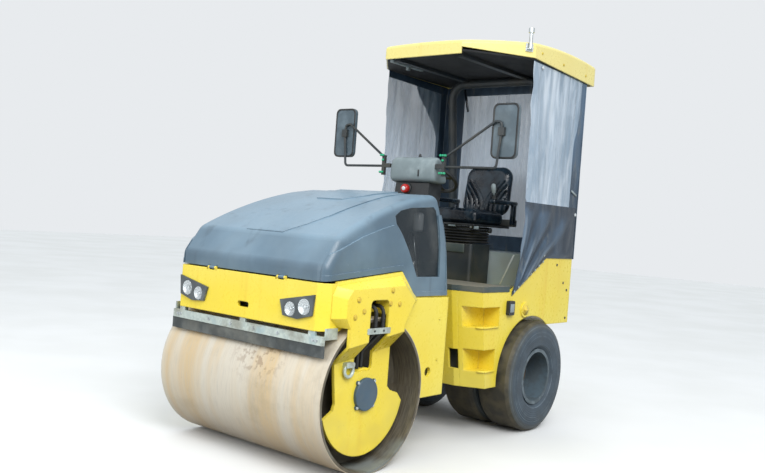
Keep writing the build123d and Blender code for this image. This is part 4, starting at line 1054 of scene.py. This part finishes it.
# how far through the back each layer lies, and how much smaller than the largest it is
back_layers = [
    (0.006, 0.030), (0.012, 0.014), (0.024, 0.004), (0.042, 0.0), (0.062, 0.004), (0.080, 0.014), (0.088, 0.034)
]
back_form = bmesh.new()
layers = []
for through, inset in back_layers:
    points = rounded_outline(0.2195 - inset, 0.205 - inset, 0.095 - inset * 0.5)
    layer = []
    for across, up in points:
        squared = across * (1 + 0.03 * ease(-up, 0.0, 0.15))
        layer.append(back_form.verts.new(back_place(squared * 0.98, up + 0.209, through)))
    layers.append(layer)
lofted(back_form, layers)
back_pad = fitting("seat_back_pad", back_form, "rear_frame", "black_vinyl")
puffed(back_pad, 0.008)
for vertex in back_pad.data.vertices:
    x, y, z = vertex.co
    up = z - back_z
    aside = abs(y - seat_y)
    through = back_x - lean * up - x
    front = max(0.0, min(1.0, (0.040 - through) / 0.02))
    bend = up - 0.15
    across = aside - 0.45 * (bend + math.hypot(bend, 0.05)) + 0.004
    ribbed = ease(across, 0.0, 0.006) * ease(0.30 - up, 0.0, 0.02) * ease(0.195 - aside, 0.0, 0.01)
    hollow = 0.008 * max(0.0, 1 - (aside / 0.17) ** 2)
    vertex.co.x -= front * (hollow + ribbed * rib(across, 0.044, 0.036))
relaxed(back_pad)
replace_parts(back_pad, "seat_back")
print("seat back has", len(back_pad.data.polygons), "faces")

# %% [markdown]
# The armrests are the same vinyl on a steel bar, each a rounded pad on a short
# upright of its own.

# %% Armrest pads
def armrest(side):
    y = seat_y + side * 0.2725
    pad = ((-1.060, y - 0.0248, 1.6456), (-0.711, y + 0.0248, 1.6800), 0.012, 4)
    post = ((-1.059, y - 0.0145, 1.4970), (-1.011, y + 0.0145, 1.6700), 0.004, 2)
    return boxed("armrest_" + side_name(side), [pad, post], "rear_frame", "black_vinyl")


bar_box = ((-1.080, seat_y - 0.287, 1.4822), (-1.020, seat_y + 0.287, 1.5378), 0.008, 2)
bar_piece = boxed("armrest_bar", [bar_box], "rear_frame", "dark_paint")
arms = sides(armrest)
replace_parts(bar_piece, "armrests")
print("two armrests on one bar")

# %% [markdown]
# Geometry Nodes are used as one maker with named sizes. This tree takes a mesh
# of loose points, each with the direction its bolt faces, puts a hexagon head
# on a round washer at every point, and ends in real faces with a finish. The
# result is turned into a plain mesh, one for each body that it rides on.

# %% A node tree under construction
class Tree:
    """A Geometry Nodes tree under construction."""

    def __init__(self, name, sizes):
        self.group = bpy.data.node_groups.new(name, "GeometryNodeTree")
        face = self.group.interface
        face.new_socket("Geometry", in_out="INPUT", socket_type="NodeSocketGeometry")
        self.ids = {}
        for label, value in sizes.items():
            socket = face.new_socket(label, in_out="INPUT", socket_type="NodeSocketFloat")
            socket.default_value = value
            self.ids[label] = socket.identifier
        face.new_socket("Geometry", in_out="OUTPUT", socket_type="NodeSocketGeometry")
        self.start = self.group.nodes.new("NodeGroupInput")

    def add(self, kind, settings=None, inputs=None):
        return add_node(self.group, kind, settings, inputs)

    def sum(self, operation, first, second):
        return self.add("ShaderNodeMath", {"operation": operation}, {0: first, 1: second}).outputs[0]

    def close(self, geometry, finish):
        """Real faces with a finish, which ends the tree."""
        real = self.add("GeometryNodeRealizeInstances", {}, {0: geometry}).outputs[0]
        finished = self.add("GeometryNodeSetMaterial", {}, {"Geometry": real, "Material": finish}).outputs[0]
        self.add("NodeGroupOutput", {}, {0: finished})

    def made(self, name, host, values, body, slot, smooth=False, finish=None):
        """Run the tree on a host mesh, and keep its result as a plain piece."""
        modifier = host.modifiers.new("maker", "NODES")
        modifier.node_group = self.group
        for label, value in values.items():
            modifier[self.ids[label]] = value
        result = bpy.data.meshes.new_from_object(host.evaluated_get(bpy.context.evaluated_depsgraph_get()))
        bpy.data.objects.remove(host)
        return riding(name, result, body, slot, smooth, finish)


def point_host(points, facings):
    """Loose points with a facing direction each, as the host of a tree."""
    mesh = bpy.data.meshes.new("points")
    mesh.from_pydata([tuple(p) for p in points], [], [])
    facing = mesh.attributes.new("facing", "FLOAT_VECTOR", "POINT")
    for k, direction in enumerate(facings):
        facing.data[k].vector = direction
    return placed("host", mesh)


print("node trees can be built")

# %% A tree for bolts
bolt_tree = Tree("bolt heads", {"Head Radius": 0.010, "Head Height": 0.006, "Washer Radius": 0.014, "Sides": 6.0})
given = bolt_tree.start.outputs


def cone(corners, radius, taper, depth):
    """A short prism whose top is narrower, by a share of its radius."""
    top = bolt_tree.sum("MULTIPLY", radius, taper)
    sizes = {"Vertices": corners, "Radius Top": top, "Radius Bottom": radius, "Depth": depth}
    return bolt_tree.add("GeometryNodeMeshCone", {"fill_type": "NGON"}, sizes).outputs[0]


head = cone(given["Sides"], given["Head Radius"], 0.9, given["Head Height"])
washer = cone(16, given["Washer Radius"], 0.94, bolt_tree.sum("MULTIPLY", given["Head Height"], 0.3))
both = bolt_tree.add("GeometryNodeJoinGeometry")
bolt_tree.group.links.new(washer, both.inputs[0])
bolt_tree.group.links.new(head, both.inputs[0])
named = {"Name": "facing"}
way = bolt_tree.add("GeometryNodeInputNamedAttribute", {"data_type": "FLOAT_VECTOR"}, named).outputs[0]
turn = bolt_tree.add("FunctionNodeAlignRotationToVector", {"axis": "Z"}, {"Vector": way}).outputs[0]
copies = {"Points": given[0], "Instance": both.outputs[0], "Rotation": turn}
bolt_tree.close(bolt_tree.add("GeometryNodeInstanceOnPoints", {}, copies).outputs[0], bare_steel)


def bolts(name, places, facing, body, slot, radius, height, washer, corners=6, finish=None):
    """A piece with a bolt at each place. They face one way, or the way that a function gives."""
    host = point_host(places, [facing(p) if callable(facing) else facing for p in places])
    values = {"Head Radius": radius, "Head Height": height, "Washer Radius": washer, "Sides": float(corners)}
    return bolt_tree.made(name, host, values, body, slot, finish=finish)


print("bolt tree has", len(bolt_tree.group.nodes), "nodes")

# %% [markdown]
# Where the bolts go: six filled discs round each yoke's slot, four on each hub
# cap, a row along the spray bar, and the wheel nuts in a circle on each rim.

# %% Bolts on the front frame
def outwards(place):
    """The way out of the machine's nearer side."""
    return (0, 1 if place[1] > 0 else -1, 0)


def both_sides(rows, y):
    """Places on the left and the right, from (x, z) rows."""
    return [(x, s * y, z) for x, z in rows for s in (1, -1)]


def circle(x, z, radius, eighths):
    """(x, z) rows round a centre, each at a number of eighths of a turn."""
    angles = [k * math.pi / 4 for k in eighths]
    return [(x + radius * math.cos(a), z + radius * math.sin(a)) for a in angles]


yoke_rows = [(1.249, 1.010), (1.199, 0.945), (1.272, 0.915), (0.956, 1.058), (0.970, 0.983), (0.885, 0.978)]
disc_places = both_sides(yoke_rows, 0.7203)
disc_size = (0.012, 0.005, 0.0175, 20)
bolts("yoke_discs", disc_places, outwards, "front_frame", "yellow_paint", *disc_size, finish=dirty_bolt)
lug_places = both_sides(circle(drum_x, drum_z, 0.100, (1, 3, 5, 7)), 0.6315)
bolts("hub_cap_screws", lug_places, outwards, "front_frame", "bare_steel", 0.007, 0.006, 0.010)
bar_places = [(1.4425, y, 0.782) for y in (-0.60, -0.575, -0.30, -0.10, 0.10, 0.30, 0.575, 0.60)]
bolts("spray_bar_bolts", bar_places, (1, 0, 0), "front_frame", "bare_steel", 0.008, 0.006, 0.011)
strap_places = both_sides([(1.02, 0.831), (1.10, 0.831)], 0.7245)
small_round = (0.006, 0.003, 0.007, 16)
bolts("hose_strap_screws", strap_places, outwards, "front_frame", "black_plastic", *small_round)
side_places = both_sides([(0.36, 0.86), (0.36, 0.60), (1.33, 0.985), (1.355, 0.93)], 0.6405)
bolts("side_screws", side_places, outwards, "front_frame", "yellow_paint", 0.007, 0.004, 0.010)
print("bolts on the front frame")

# %% Wheel nuts and body screws
def nut_ring(side):
    ring = [(x, side * 0.5563, z) for x, z in circle(axle_x, axle_z, 0.125, range(8))]
    name, body = "wheel_nuts_" + side_name(side), "wheels_" + side_name(side)
    return bolts(name, ring, (0, side, 0), body, "rim_paint", 0.013, 0.018, 0.019)


sides(nut_ring)
body_places = both_sides([(-1.124, 1.215), (-1.246, 1.076), (-1.310, 1.019), (-1.32, 0.80)], 0.6605)
bolts("body_screws", body_places, outwards, "rear_frame", "dark_paint", 0.008, 0.004, 0.011)
roof_places = both_sides([(-0.62, 2.735), (-0.95, 2.715), (-1.32, 2.700)], 0.6803)
bolts("roof_screws", roof_places, outwards, "rear_frame", "yellow_paint", 0.008, 0.004, 0.011, finish=dirty_bolt)
print("nuts and screws on the rear frame")

# %% [markdown]
# A headlamp is a bright bowl behind a clear domed lens. The bowl is turned from
# a short profile, and a small bulb shield stands in its middle. The measured
# lens is a plain disc, so the dome and bowl replace it.

# %% Headlamps
lamp_rows = [(0.505, 0.953, 0.046), (0.398, 0.930, 0.041)]
bowls, domes, shields = bmesh.new(), bmesh.new(), bmesh.new()
for y, z, r in lamp_rows:
    for s in (1, -1):
        centre = (1.4454, s * y, z)
        bowl = [
            (0.0, 0.004), (0.0, r * 0.45), (0.0045, r * 0.80), (0.011, r * 0.98), (0.0125, r * 0.999),
            (0.0118, r * 0.93), (0.0060, r * 0.74), (0.0022, r * 0.42), (0.0018, 0.004),
        ]
        turned(bowls, bowl, centre, (1, 0, 0), 40)
        dome = [(0.0118, r * 0.995), (0.0140, r * 0.97), (0.0168, r * 0.80), (0.0185, r * 0.50), (0.0192, 0.002)]
        turned(domes, dome, centre, (1, 0, 0), 40)
        shield = [(0.0022, 0.012), (0.0085, 0.011), (0.0105, 0.007), (0.0110, 0.002)]
        turned(shields, shield, centre, (1, 0, 0), 20)
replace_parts(fitting("lamp_bowls", bowls, "front_frame", "lamp_glass", finish=reflector), "lamp_lenses")
fitting("lamp_domes", domes, "front_frame", "lamp_glass")
fitting("lamp_shields", shields, "front_frame", "lamp_glass", finish=reflector)
print("four headlamps")

# %% [markdown]
# The instrument cover is a moulded lid with rolled edges and rounded ends. It
# is lofted from one outline, which shrinks towards both ends as a pillow's
# does, and has fine lines pressed in near its ends.

# %% Instrument cover
cover_outline = [
    (-0.066, 1.748), (-0.064, 1.800), (-0.063, 1.850), (-0.070, 1.893), (-0.088, 1.922), (-0.120, 1.936),
    (-0.160, 1.918), (-0.205, 1.838), (-0.244, 1.765), (-0.236, 1.748), (-0.150, 1.746),
]
cover_x, cover_z = -0.140, 1.835
cover = bmesh.new()
rings = []
stations = 34
for k in range(stations + 1):
    share = 2 * k / stations - 1
    y = 0.204 * share
    end = max(0.0, (abs(share) - 0.86) / 0.14)
    shrink = 1 - 0.20 * end ** 2.4
    line = 0.0018 if any(abs(y - groove) < 0.004 for groove in (-0.150, -0.126, 0.126, 0.150)) else 0.0
    size = shrink - line * 4
    ring = [(cover_x + (x - cover_x) * size, y, cover_z + (z - cover_z) * size) for x, z in cover_outline]
    rings.append([cover.verts.new(point) for point in ring])
lofted(cover, rings)
lid = fitting("cover_lid", cover, "rear_frame", "light_plastic")
round_off = lid.modifiers.new("round", "SUBSURF")
round_off.levels = round_off.render_levels = 2
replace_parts(lid, "instrument_cover")
knob = bmesh.new()
knob_outline = [(0.0, 0.012), (0.006, 0.012), (0.010, 0.009), (0.018, 0.008), (0.022, 0.002)]
turned(knob, knob_outline, (-0.118, 0.03, 1.934), (0, 0, 1), 20)
slab(knob, (-0.0640, 0.060, 1.790), (-0.0600, 0.072, 1.838), 0.0015, 2)
fitting("cover_catch", knob, "rear_frame", "black_plastic")
print("instrument cover")

# %% [markdown]
# Mirror fittings: two dark rims round each head, glass on its rear face, and
# bright green caps on the clamp screws of the bracket.

# %% Mirrors and caps
cap_green = glazing("green cap", srgb(34, 168, 122), 1.0, 0.35, film=0.1)


def frame_ring(shape, x0, x1, centre, half_wide, half_high, radius, width):
    """A flat picture frame across the machine, from x0 to x1."""
    outer = rounded_outline(half_wide, half_high, radius)
    inner = rounded_outline(half_wide - width, half_high - width, radius - width * 0.6)
    loops = [
        [shape.verts.new((x, centre[0] + p[0], centre[1] + p[1])) for p in points]
        for x, points in ((x0, outer), (x1, outer), (x1, inner), (x0, inner))
    ]
    for k, loop in enumerate(loops):
        joined(shape, loop, loops[(k + 1) % 4])


def mirror_fittings(side):
    name = side_name(side)
    centre = (side * 0.72, 2.1155)
    rim = bmesh.new()
    frame_ring(rim, -0.1240, -0.1185, centre, 0.0995, 0.187, 0.040, 0.012)
    frame_ring(rim, -0.1475, -0.1440, centre, 0.0995, 0.187, 0.040, 0.010)
    fitting("mirror_rim_" + name, rim, "rear_frame", "black_plastic")
    face = bmesh.new()
    points = rounded_outline(0.0885, 0.176, 0.032)
    front = [face.verts.new((-0.1453, centre[0] + y, centre[1] + z)) for y, z in points]
    back = [face.verts.new((-0.1463, centre[0] + y, centre[1] + z)) for y, z in points]
    face.faces.new(front)
    face.faces.new(back[::-1])
    joined(face, front, back)
    fitting("mirror_glass_" + name, face, "rear_frame", "mirror_shell", smooth=False, finish=mirror_glass)


sides(mirror_fittings)
cap_outline = [(0.0, 0.0085), (0.012, 0.0085), (0.016, 0.005), (0.0165, 0.001)]
cap_rows = [
    (cap_outline, (-0.0695, y, z), (1, 0, 0), 14)
    for y in (-0.290, -0.270, 0.250, 0.270, 0.290)
    for z in ((1.815, 1.940, 1.905) if abs(y) == 0.270 else (1.815, 1.940))
]
lathed("green_caps", cap_rows, "rear_frame", "light_plastic", finish=cap_green)
print("mirror rims, glass and caps")

# %% [markdown]
# Under the seat a rubber bellows hides the springs. Its folds repeat up its
# height, so Geometry Nodes copy one fold at a named pitch. The host of the tree
# is that fold: a closed ring that bulges at its middle.

# %% Bellows under the seat
fold_count, fold_pitch, fold_bulge = 6.0, 0.0215, 0.012
bellows_x, bellows_y, bellows_foot = -0.745, 0.02, 1.3345
half_x, half_y = 0.147, 0.157
bellows_tree = Tree("bellows", {"Folds": fold_count, "Pitch": fold_pitch})
given = bellows_tree.start.outputs
rise = bellows_tree.add("ShaderNodeCombineXYZ", {}, {2: given["Pitch"]}).outputs[0]
line = bellows_tree.add("GeometryNodeMeshLine", {"mode": "OFFSET"}, {"Count": given["Folds"], "Offset": rise})
copies = {"Points": line.outputs[0], "Instance": given[0]}
bellows_tree.close(bellows_tree.add("GeometryNodeInstanceOnPoints", {}, copies).outputs[0], black_rubber)

fold = bmesh.new()


def drawn_in(loop):
    """A copy of a loop, a fifth of the way to the bellows' middle."""
    points = [v.co for v in loop]
    closer = [(p.x + (bellows_x - p.x) * 0.2, p.y + (bellows_y - p.y) * 0.2, p.z) for p in points]
    return [fold.verts.new(p) for p in closer]


loops = []
for up, out in ((0.02, -0.3), (0.22, 0.45), (0.40, 0.92), (0.5, 1.0), (0.60, 0.92), (0.78, 0.45), (0.98, -0.3)):
    swell = fold_bulge * out
    points = rounded_outline(half_x + swell, half_y + swell, 0.036 + swell * 0.5, 5)
    z = bellows_foot + fold_pitch * up
    loops.append([fold.verts.new((bellows_x + a, bellows_y + b, z)) for a, b in points])
loops += [drawn_in(loops[-1]), drawn_in(loops[0])]
for k, loop in enumerate(loops):
    joined(fold, loop, loops[(k + 1) % len(loops)])
fold_host = placed("fold", closed_mesh("fold", fold))
fold_sizes = {"Folds": fold_count, "Pitch": fold_pitch}
bellows = bellows_tree.made("seat_bellows", fold_host, fold_sizes, "rear_frame", "black_rubber", smooth=True)
pan_box = ((-1.085, -0.1975, 1.4655), (-0.570, 0.2375, 1.4820), 0.004, 2)
boxed("seat_pan", [pan_box], "rear_frame", "black_plastic")
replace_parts(bellows, "seat_suspension")
print("bellows of six folds and the pan on it")

# %% [markdown]
# Small things round the seat: the grey sheet that lines the box behind it, with
# a pale strip; rails, grips and pale trims under the cushion; a strap on the
# hoop, lips on the steps, and the lever beside the seat.

# %% Round the seat
def tilted_box(name, low, high, rounding, pivot, degrees, axis, slot, finish=None):
    """A thin strip on the rear frame, turned about a pivot."""
    shape = bmesh.new()
    slab(shape, low, high, rounding, 1)
    bmesh.ops.rotate(shape, verts=shape.verts, cent=pivot, matrix=Matrix.Rotation(math.radians(degrees), 3, axis))
    return fitting(name, shape, "rear_frame", slot, finish=finish)


worn_grey = painted(
    "worn grey lining",
    (srgb(104, 118, 124), srgb(140, 155, 160), srgb(164, 177, 182)),
    rub=srgb(150, 146, 130),
    dust=0.5,
    dust_top=1.6,
    gloss=0.5,
)
lining = [
    ((-0.8975, -0.505, 1.0215), (-0.8955, 0.505, 1.2788), 0.0006, 1),
    *[((-0.890, s * 0.5105 - 0.001, 1.0215), (-0.520, s * 0.5105 + 0.001, 1.045), 0.0006, 1) for s in (1, -1)],
    ((-1.3600, -0.505, 1.2782), (-0.8955, 0.505, 1.2800), 0.0006, 1),
]
boxed("seat_box_lining", lining, "rear_frame", "dark_paint", smooth=False, finish=worn_grey)
rails = [
    ((-0.905, y - 0.009, 1.4715), (-0.585, y + 0.009, 1.4800), 0.002, 2) for y in (seat_y + 0.166, seat_y - 0.166)
]
rails.append(((-0.600, seat_y + 0.178, 1.4520), (-0.575, seat_y + 0.192, 1.4700), 0.003, 2))
boxed("seat_rails", rails, "rear_frame", "bare_steel")
grip = [(0.0, 0.006), (0.006, 0.010), (0.060, 0.012), (0.070, 0.010), (0.074, 0.003)]
wheel_knob = [(0.0, 0.016), (0.004, 0.021), (0.022, 0.021), (0.026, 0.016)]
grips = [
    (grip, (-0.640, seat_y + 0.176, 1.4610), (0.55, 0.83, -0.1), 20),
    (wheel_knob, (-0.840, seat_y + 0.178, 1.4400), (0, 1, 0), 24),
]
lathed("seat_grips", grips, "rear_frame", "black_plastic")
trims = [
    ((-0.596, 0.228, 1.4460), (-0.584, 0.268, 1.4660), 0.002, 2),
    ((-0.600, 0.002, 1.4540), (-0.570, 0.066, 1.4660), 0.003, 2),
]
boxed("pale_trims", trims, "rear_frame", "light_plastic")
strip = ((-0.8955, 0.3510, 1.0200), (-0.8915, 0.3640, 1.2800), 0.0008, (-0.894, 0.3575, 1.150), -24, "X")
tilted_box("lining_strip", *strip, "light_plastic", finish=white_glass)
strap = ((-1.1815, -0.3390, 2.4200), (-1.1795, -0.3160, 2.6150), 0.0006, (-1.18, -0.3275, 2.518), 14, "X")
tilted_box("hoop_strap", *strap, "black_vinyl")
print("lining, rails, grips and trims")

# %% Step lips, pedestal plate and lever
lips = bmesh.new()
lean_in = Matrix.Rotation(math.atan2(-0.1800, 0.095), 3, "Z")
for lip_rear, corner, low in ((-0.3260, -0.1372, 0.7690), (-0.3060, -0.1899, 0.4640)):
    slab(lips, (lip_rear, 0.6560, low), (corner + 0.003, 0.6690, low + 0.0145), 0.004, 2)
    before = set(lips.verts)
    slab(lips, (0.0, -0.0040, low), (0.052, 0.0090, low + 0.0145), 0.004, 2)
    bent = [v for v in lips.verts if v not in before]
    bmesh.ops.rotate(lips, verts=bent, cent=(0, 0, 0), matrix=lean_in)
    bmesh.ops.translate(lips, verts=bent, vec=(corner, 0.660, 0))
other = bmesh.ops.duplicate(lips, geom=lips.verts[:] + lips.edges[:] + lips.faces[:])["geom"]
bmesh.ops.scale(lips, verts=[g for g in other if isinstance(g, bmesh.types.BMVert)], vec=(1, -1, 1))
fitting("step_lips", lips, "rear_frame", "yellow_paint")
plate_box = ((-0.5998, -0.160, 1.2600), (-0.5890, 0.150, 1.3260), 0.004, 2)
boxed("pedestal_plate", [plate_box], "rear_frame", "dark_paint", finish=deck_slate)
stick_at, stick_way = (-0.742, seat_y + 0.2725, 1.6798), (0.25, 0, 0.97)
boot = [(0.0, 0.010), (0.0, 0.023), (0.006, 0.020), (0.010, 0.021), (0.016, 0.015), (0.020, 0.016), (0.030, 0.009)]
lathed("side_lever_boot", [(boot, stick_at, stick_way, 24)], "rear_frame", "black_rubber")
stick = [(0.028, 0.007), (0.046, 0.008), (0.054, 0.015), (0.095, 0.0185), (0.114, 0.015), (0.122, 0.004)]
lathed("side_lever", [(stick, stick_at, stick_way, 24)], "rear_frame", "light_plastic", finish=worn_grey)
print("lips, plate and lever")

# %% [markdown]
# Through the hood's side window one sees a white canister and steel rods. They
# are turned from short profiles, and stand on a bracket of thin plates, so that
# they don't float when the hood is open.

# %% Things behind the hood's glass
canister = [(0.0, 0.020), (0.004, 0.030), (0.020, 0.033), (0.110, 0.033), (0.118, 0.024), (0.124, 0.010)]
canister_row = (canister, (0.488, 0.512, 1.402), (0, 0, 1), 28)
lathed("expansion_canister", [canister_row], "front_frame", "light_plastic", finish=white_glass)
rods = [
    ([(0.0, 0.006), (0.28, 0.006)], (0.4200, 0.4860, 1.100), (0.26, 0, 0.966), 12),
    ([(0.0, 0.014), (0.006, 0.017), (0.090, 0.017), (0.096, 0.012)], (0.488, 0.496, 1.120), (0, 0, 1), 18),
]
lathed("engine_rods", rods, "front_frame", "bare_steel")
stand = [
    ((0.412, 0.4740, 0.9385), (0.520, 0.4800, 1.4020), 0.001, 1),
    ((0.448, 0.4740, 1.3960), (0.528, 0.5500, 1.4025), 0.001, 1),
]
boxed("canister_bracket", stand, "front_frame", "dark_paint")
print("canister, rods and their bracket")

# %% [markdown]
# The stop button is a red dome with a pale disc. On the curtains there are pale
# round clips and a strap, and under the roof's far edge hangs a grey rail. Then
# come plates on the marker lamps, black discs of painted shade in the lashing
# holes, and the handle of the filler cap.

# %% Button, clips and rail
disc = [(0.0, 0.0155), (0.0016, 0.0155), (0.0030, 0.012), (0.0034, 0.002)]
disc_row = (disc, (-0.0462, -0.045, 1.700), (1, 0, 0), 24)
lathed("button_disc", [disc_row], "rear_frame", "light_plastic", finish=white_glass)
collar = [(0.0, 0.036), (0.0, 0.043), (0.006, 0.043), (0.009, 0.040), (0.009, 0.0325)]
collar_row = (collar, (-0.0835, -0.045, 1.700), (1, 0, 0), 32)
lathed("button_collar", [collar_row], "rear_frame", "black_plastic")
clips = [(-0.660, 0.6710, 2.640), (-1.344, 0.6700, 1.612), (-0.878, 0.6760, 1.290)]
clip_size = (0.010, 0.005, 0.014, 18)
bolts("curtain_clips", clips, (0, 1, 0), "rear_frame", "light_plastic", *clip_size, finish=white_glass)
eyelets = [(-0.49 - 0.055 * k, 0.6745, 1.022 + 0.031 * k) for k in range(8)]
bolts("curtain_eyelets", eyelets, (0, 1, 0), "rear_frame", "galvanised", 0.004, 0.004, 0.009, 12)
roof_rail = [
    ((-0.56, -0.366, 2.652), (-0.18, -0.334, 2.6755), 0.003, 2),
    ((-0.40, -0.362, 2.628), (-0.37, -0.338, 2.654), 0.003, 2),
]
boxed("roof_rail", roof_rail, "rear_frame", "dark_paint", finish=worn_grey)
pull = ((-1.335, 0.6735, 1.770), (-1.235, 0.6750, 1.786), 0.0004, (-1.285, 0.674, 1.778), -20, "Y")
tilted_box("curtain_pull", *pull, "light_plastic")
print("button disc, clips, eyelets, rail and pull")

# %% Lenses, painted shade in the lashing holes and cap handle
lens_rows = [
    ((-0.4790, min(ends), 0.876), (-0.4290, max(ends), 0.936), 0.0024, 2)
    for ends in ((0.6855, 0.6905), (-0.6855, -0.6905))
]
boxed("marker_lenses", lens_rows, "rear_frame", "black_plastic", finish=worn_grey)
# painted shade: a thin black disc in each lashing hole stands for the shade inside it
hole_rows = [([(0.0, 0.0292), (0.0008, 0.0292)], (0.447, s * 0.6183, 0.528), (0, s, 0), 32) for s in (1, -1)]
lathed("lashing_hole_shade_discs", hole_rows, "front_frame", "black_plastic")
cap_parts = bmesh.new()
filler_cap = [(0.0, 0.030), (0.0, 0.0385), (0.004, 0.0375), (0.005, 0.020), (0.012, 0.018), (0.013, 0.004)]
turned(cap_parts, filler_cap, (-0.675, 0.6688, 0.885), (0, 1, 0), 28)
slab(cap_parts, (-0.705, 0.6790, 0.880), (-0.645, 0.6855, 0.890), 0.002, 2)
fitting("filler_cap_handle", cap_parts, "rear_frame", "yellow_paint", finish=dirty_bolt)
print("lenses, hole backs and cap handle")
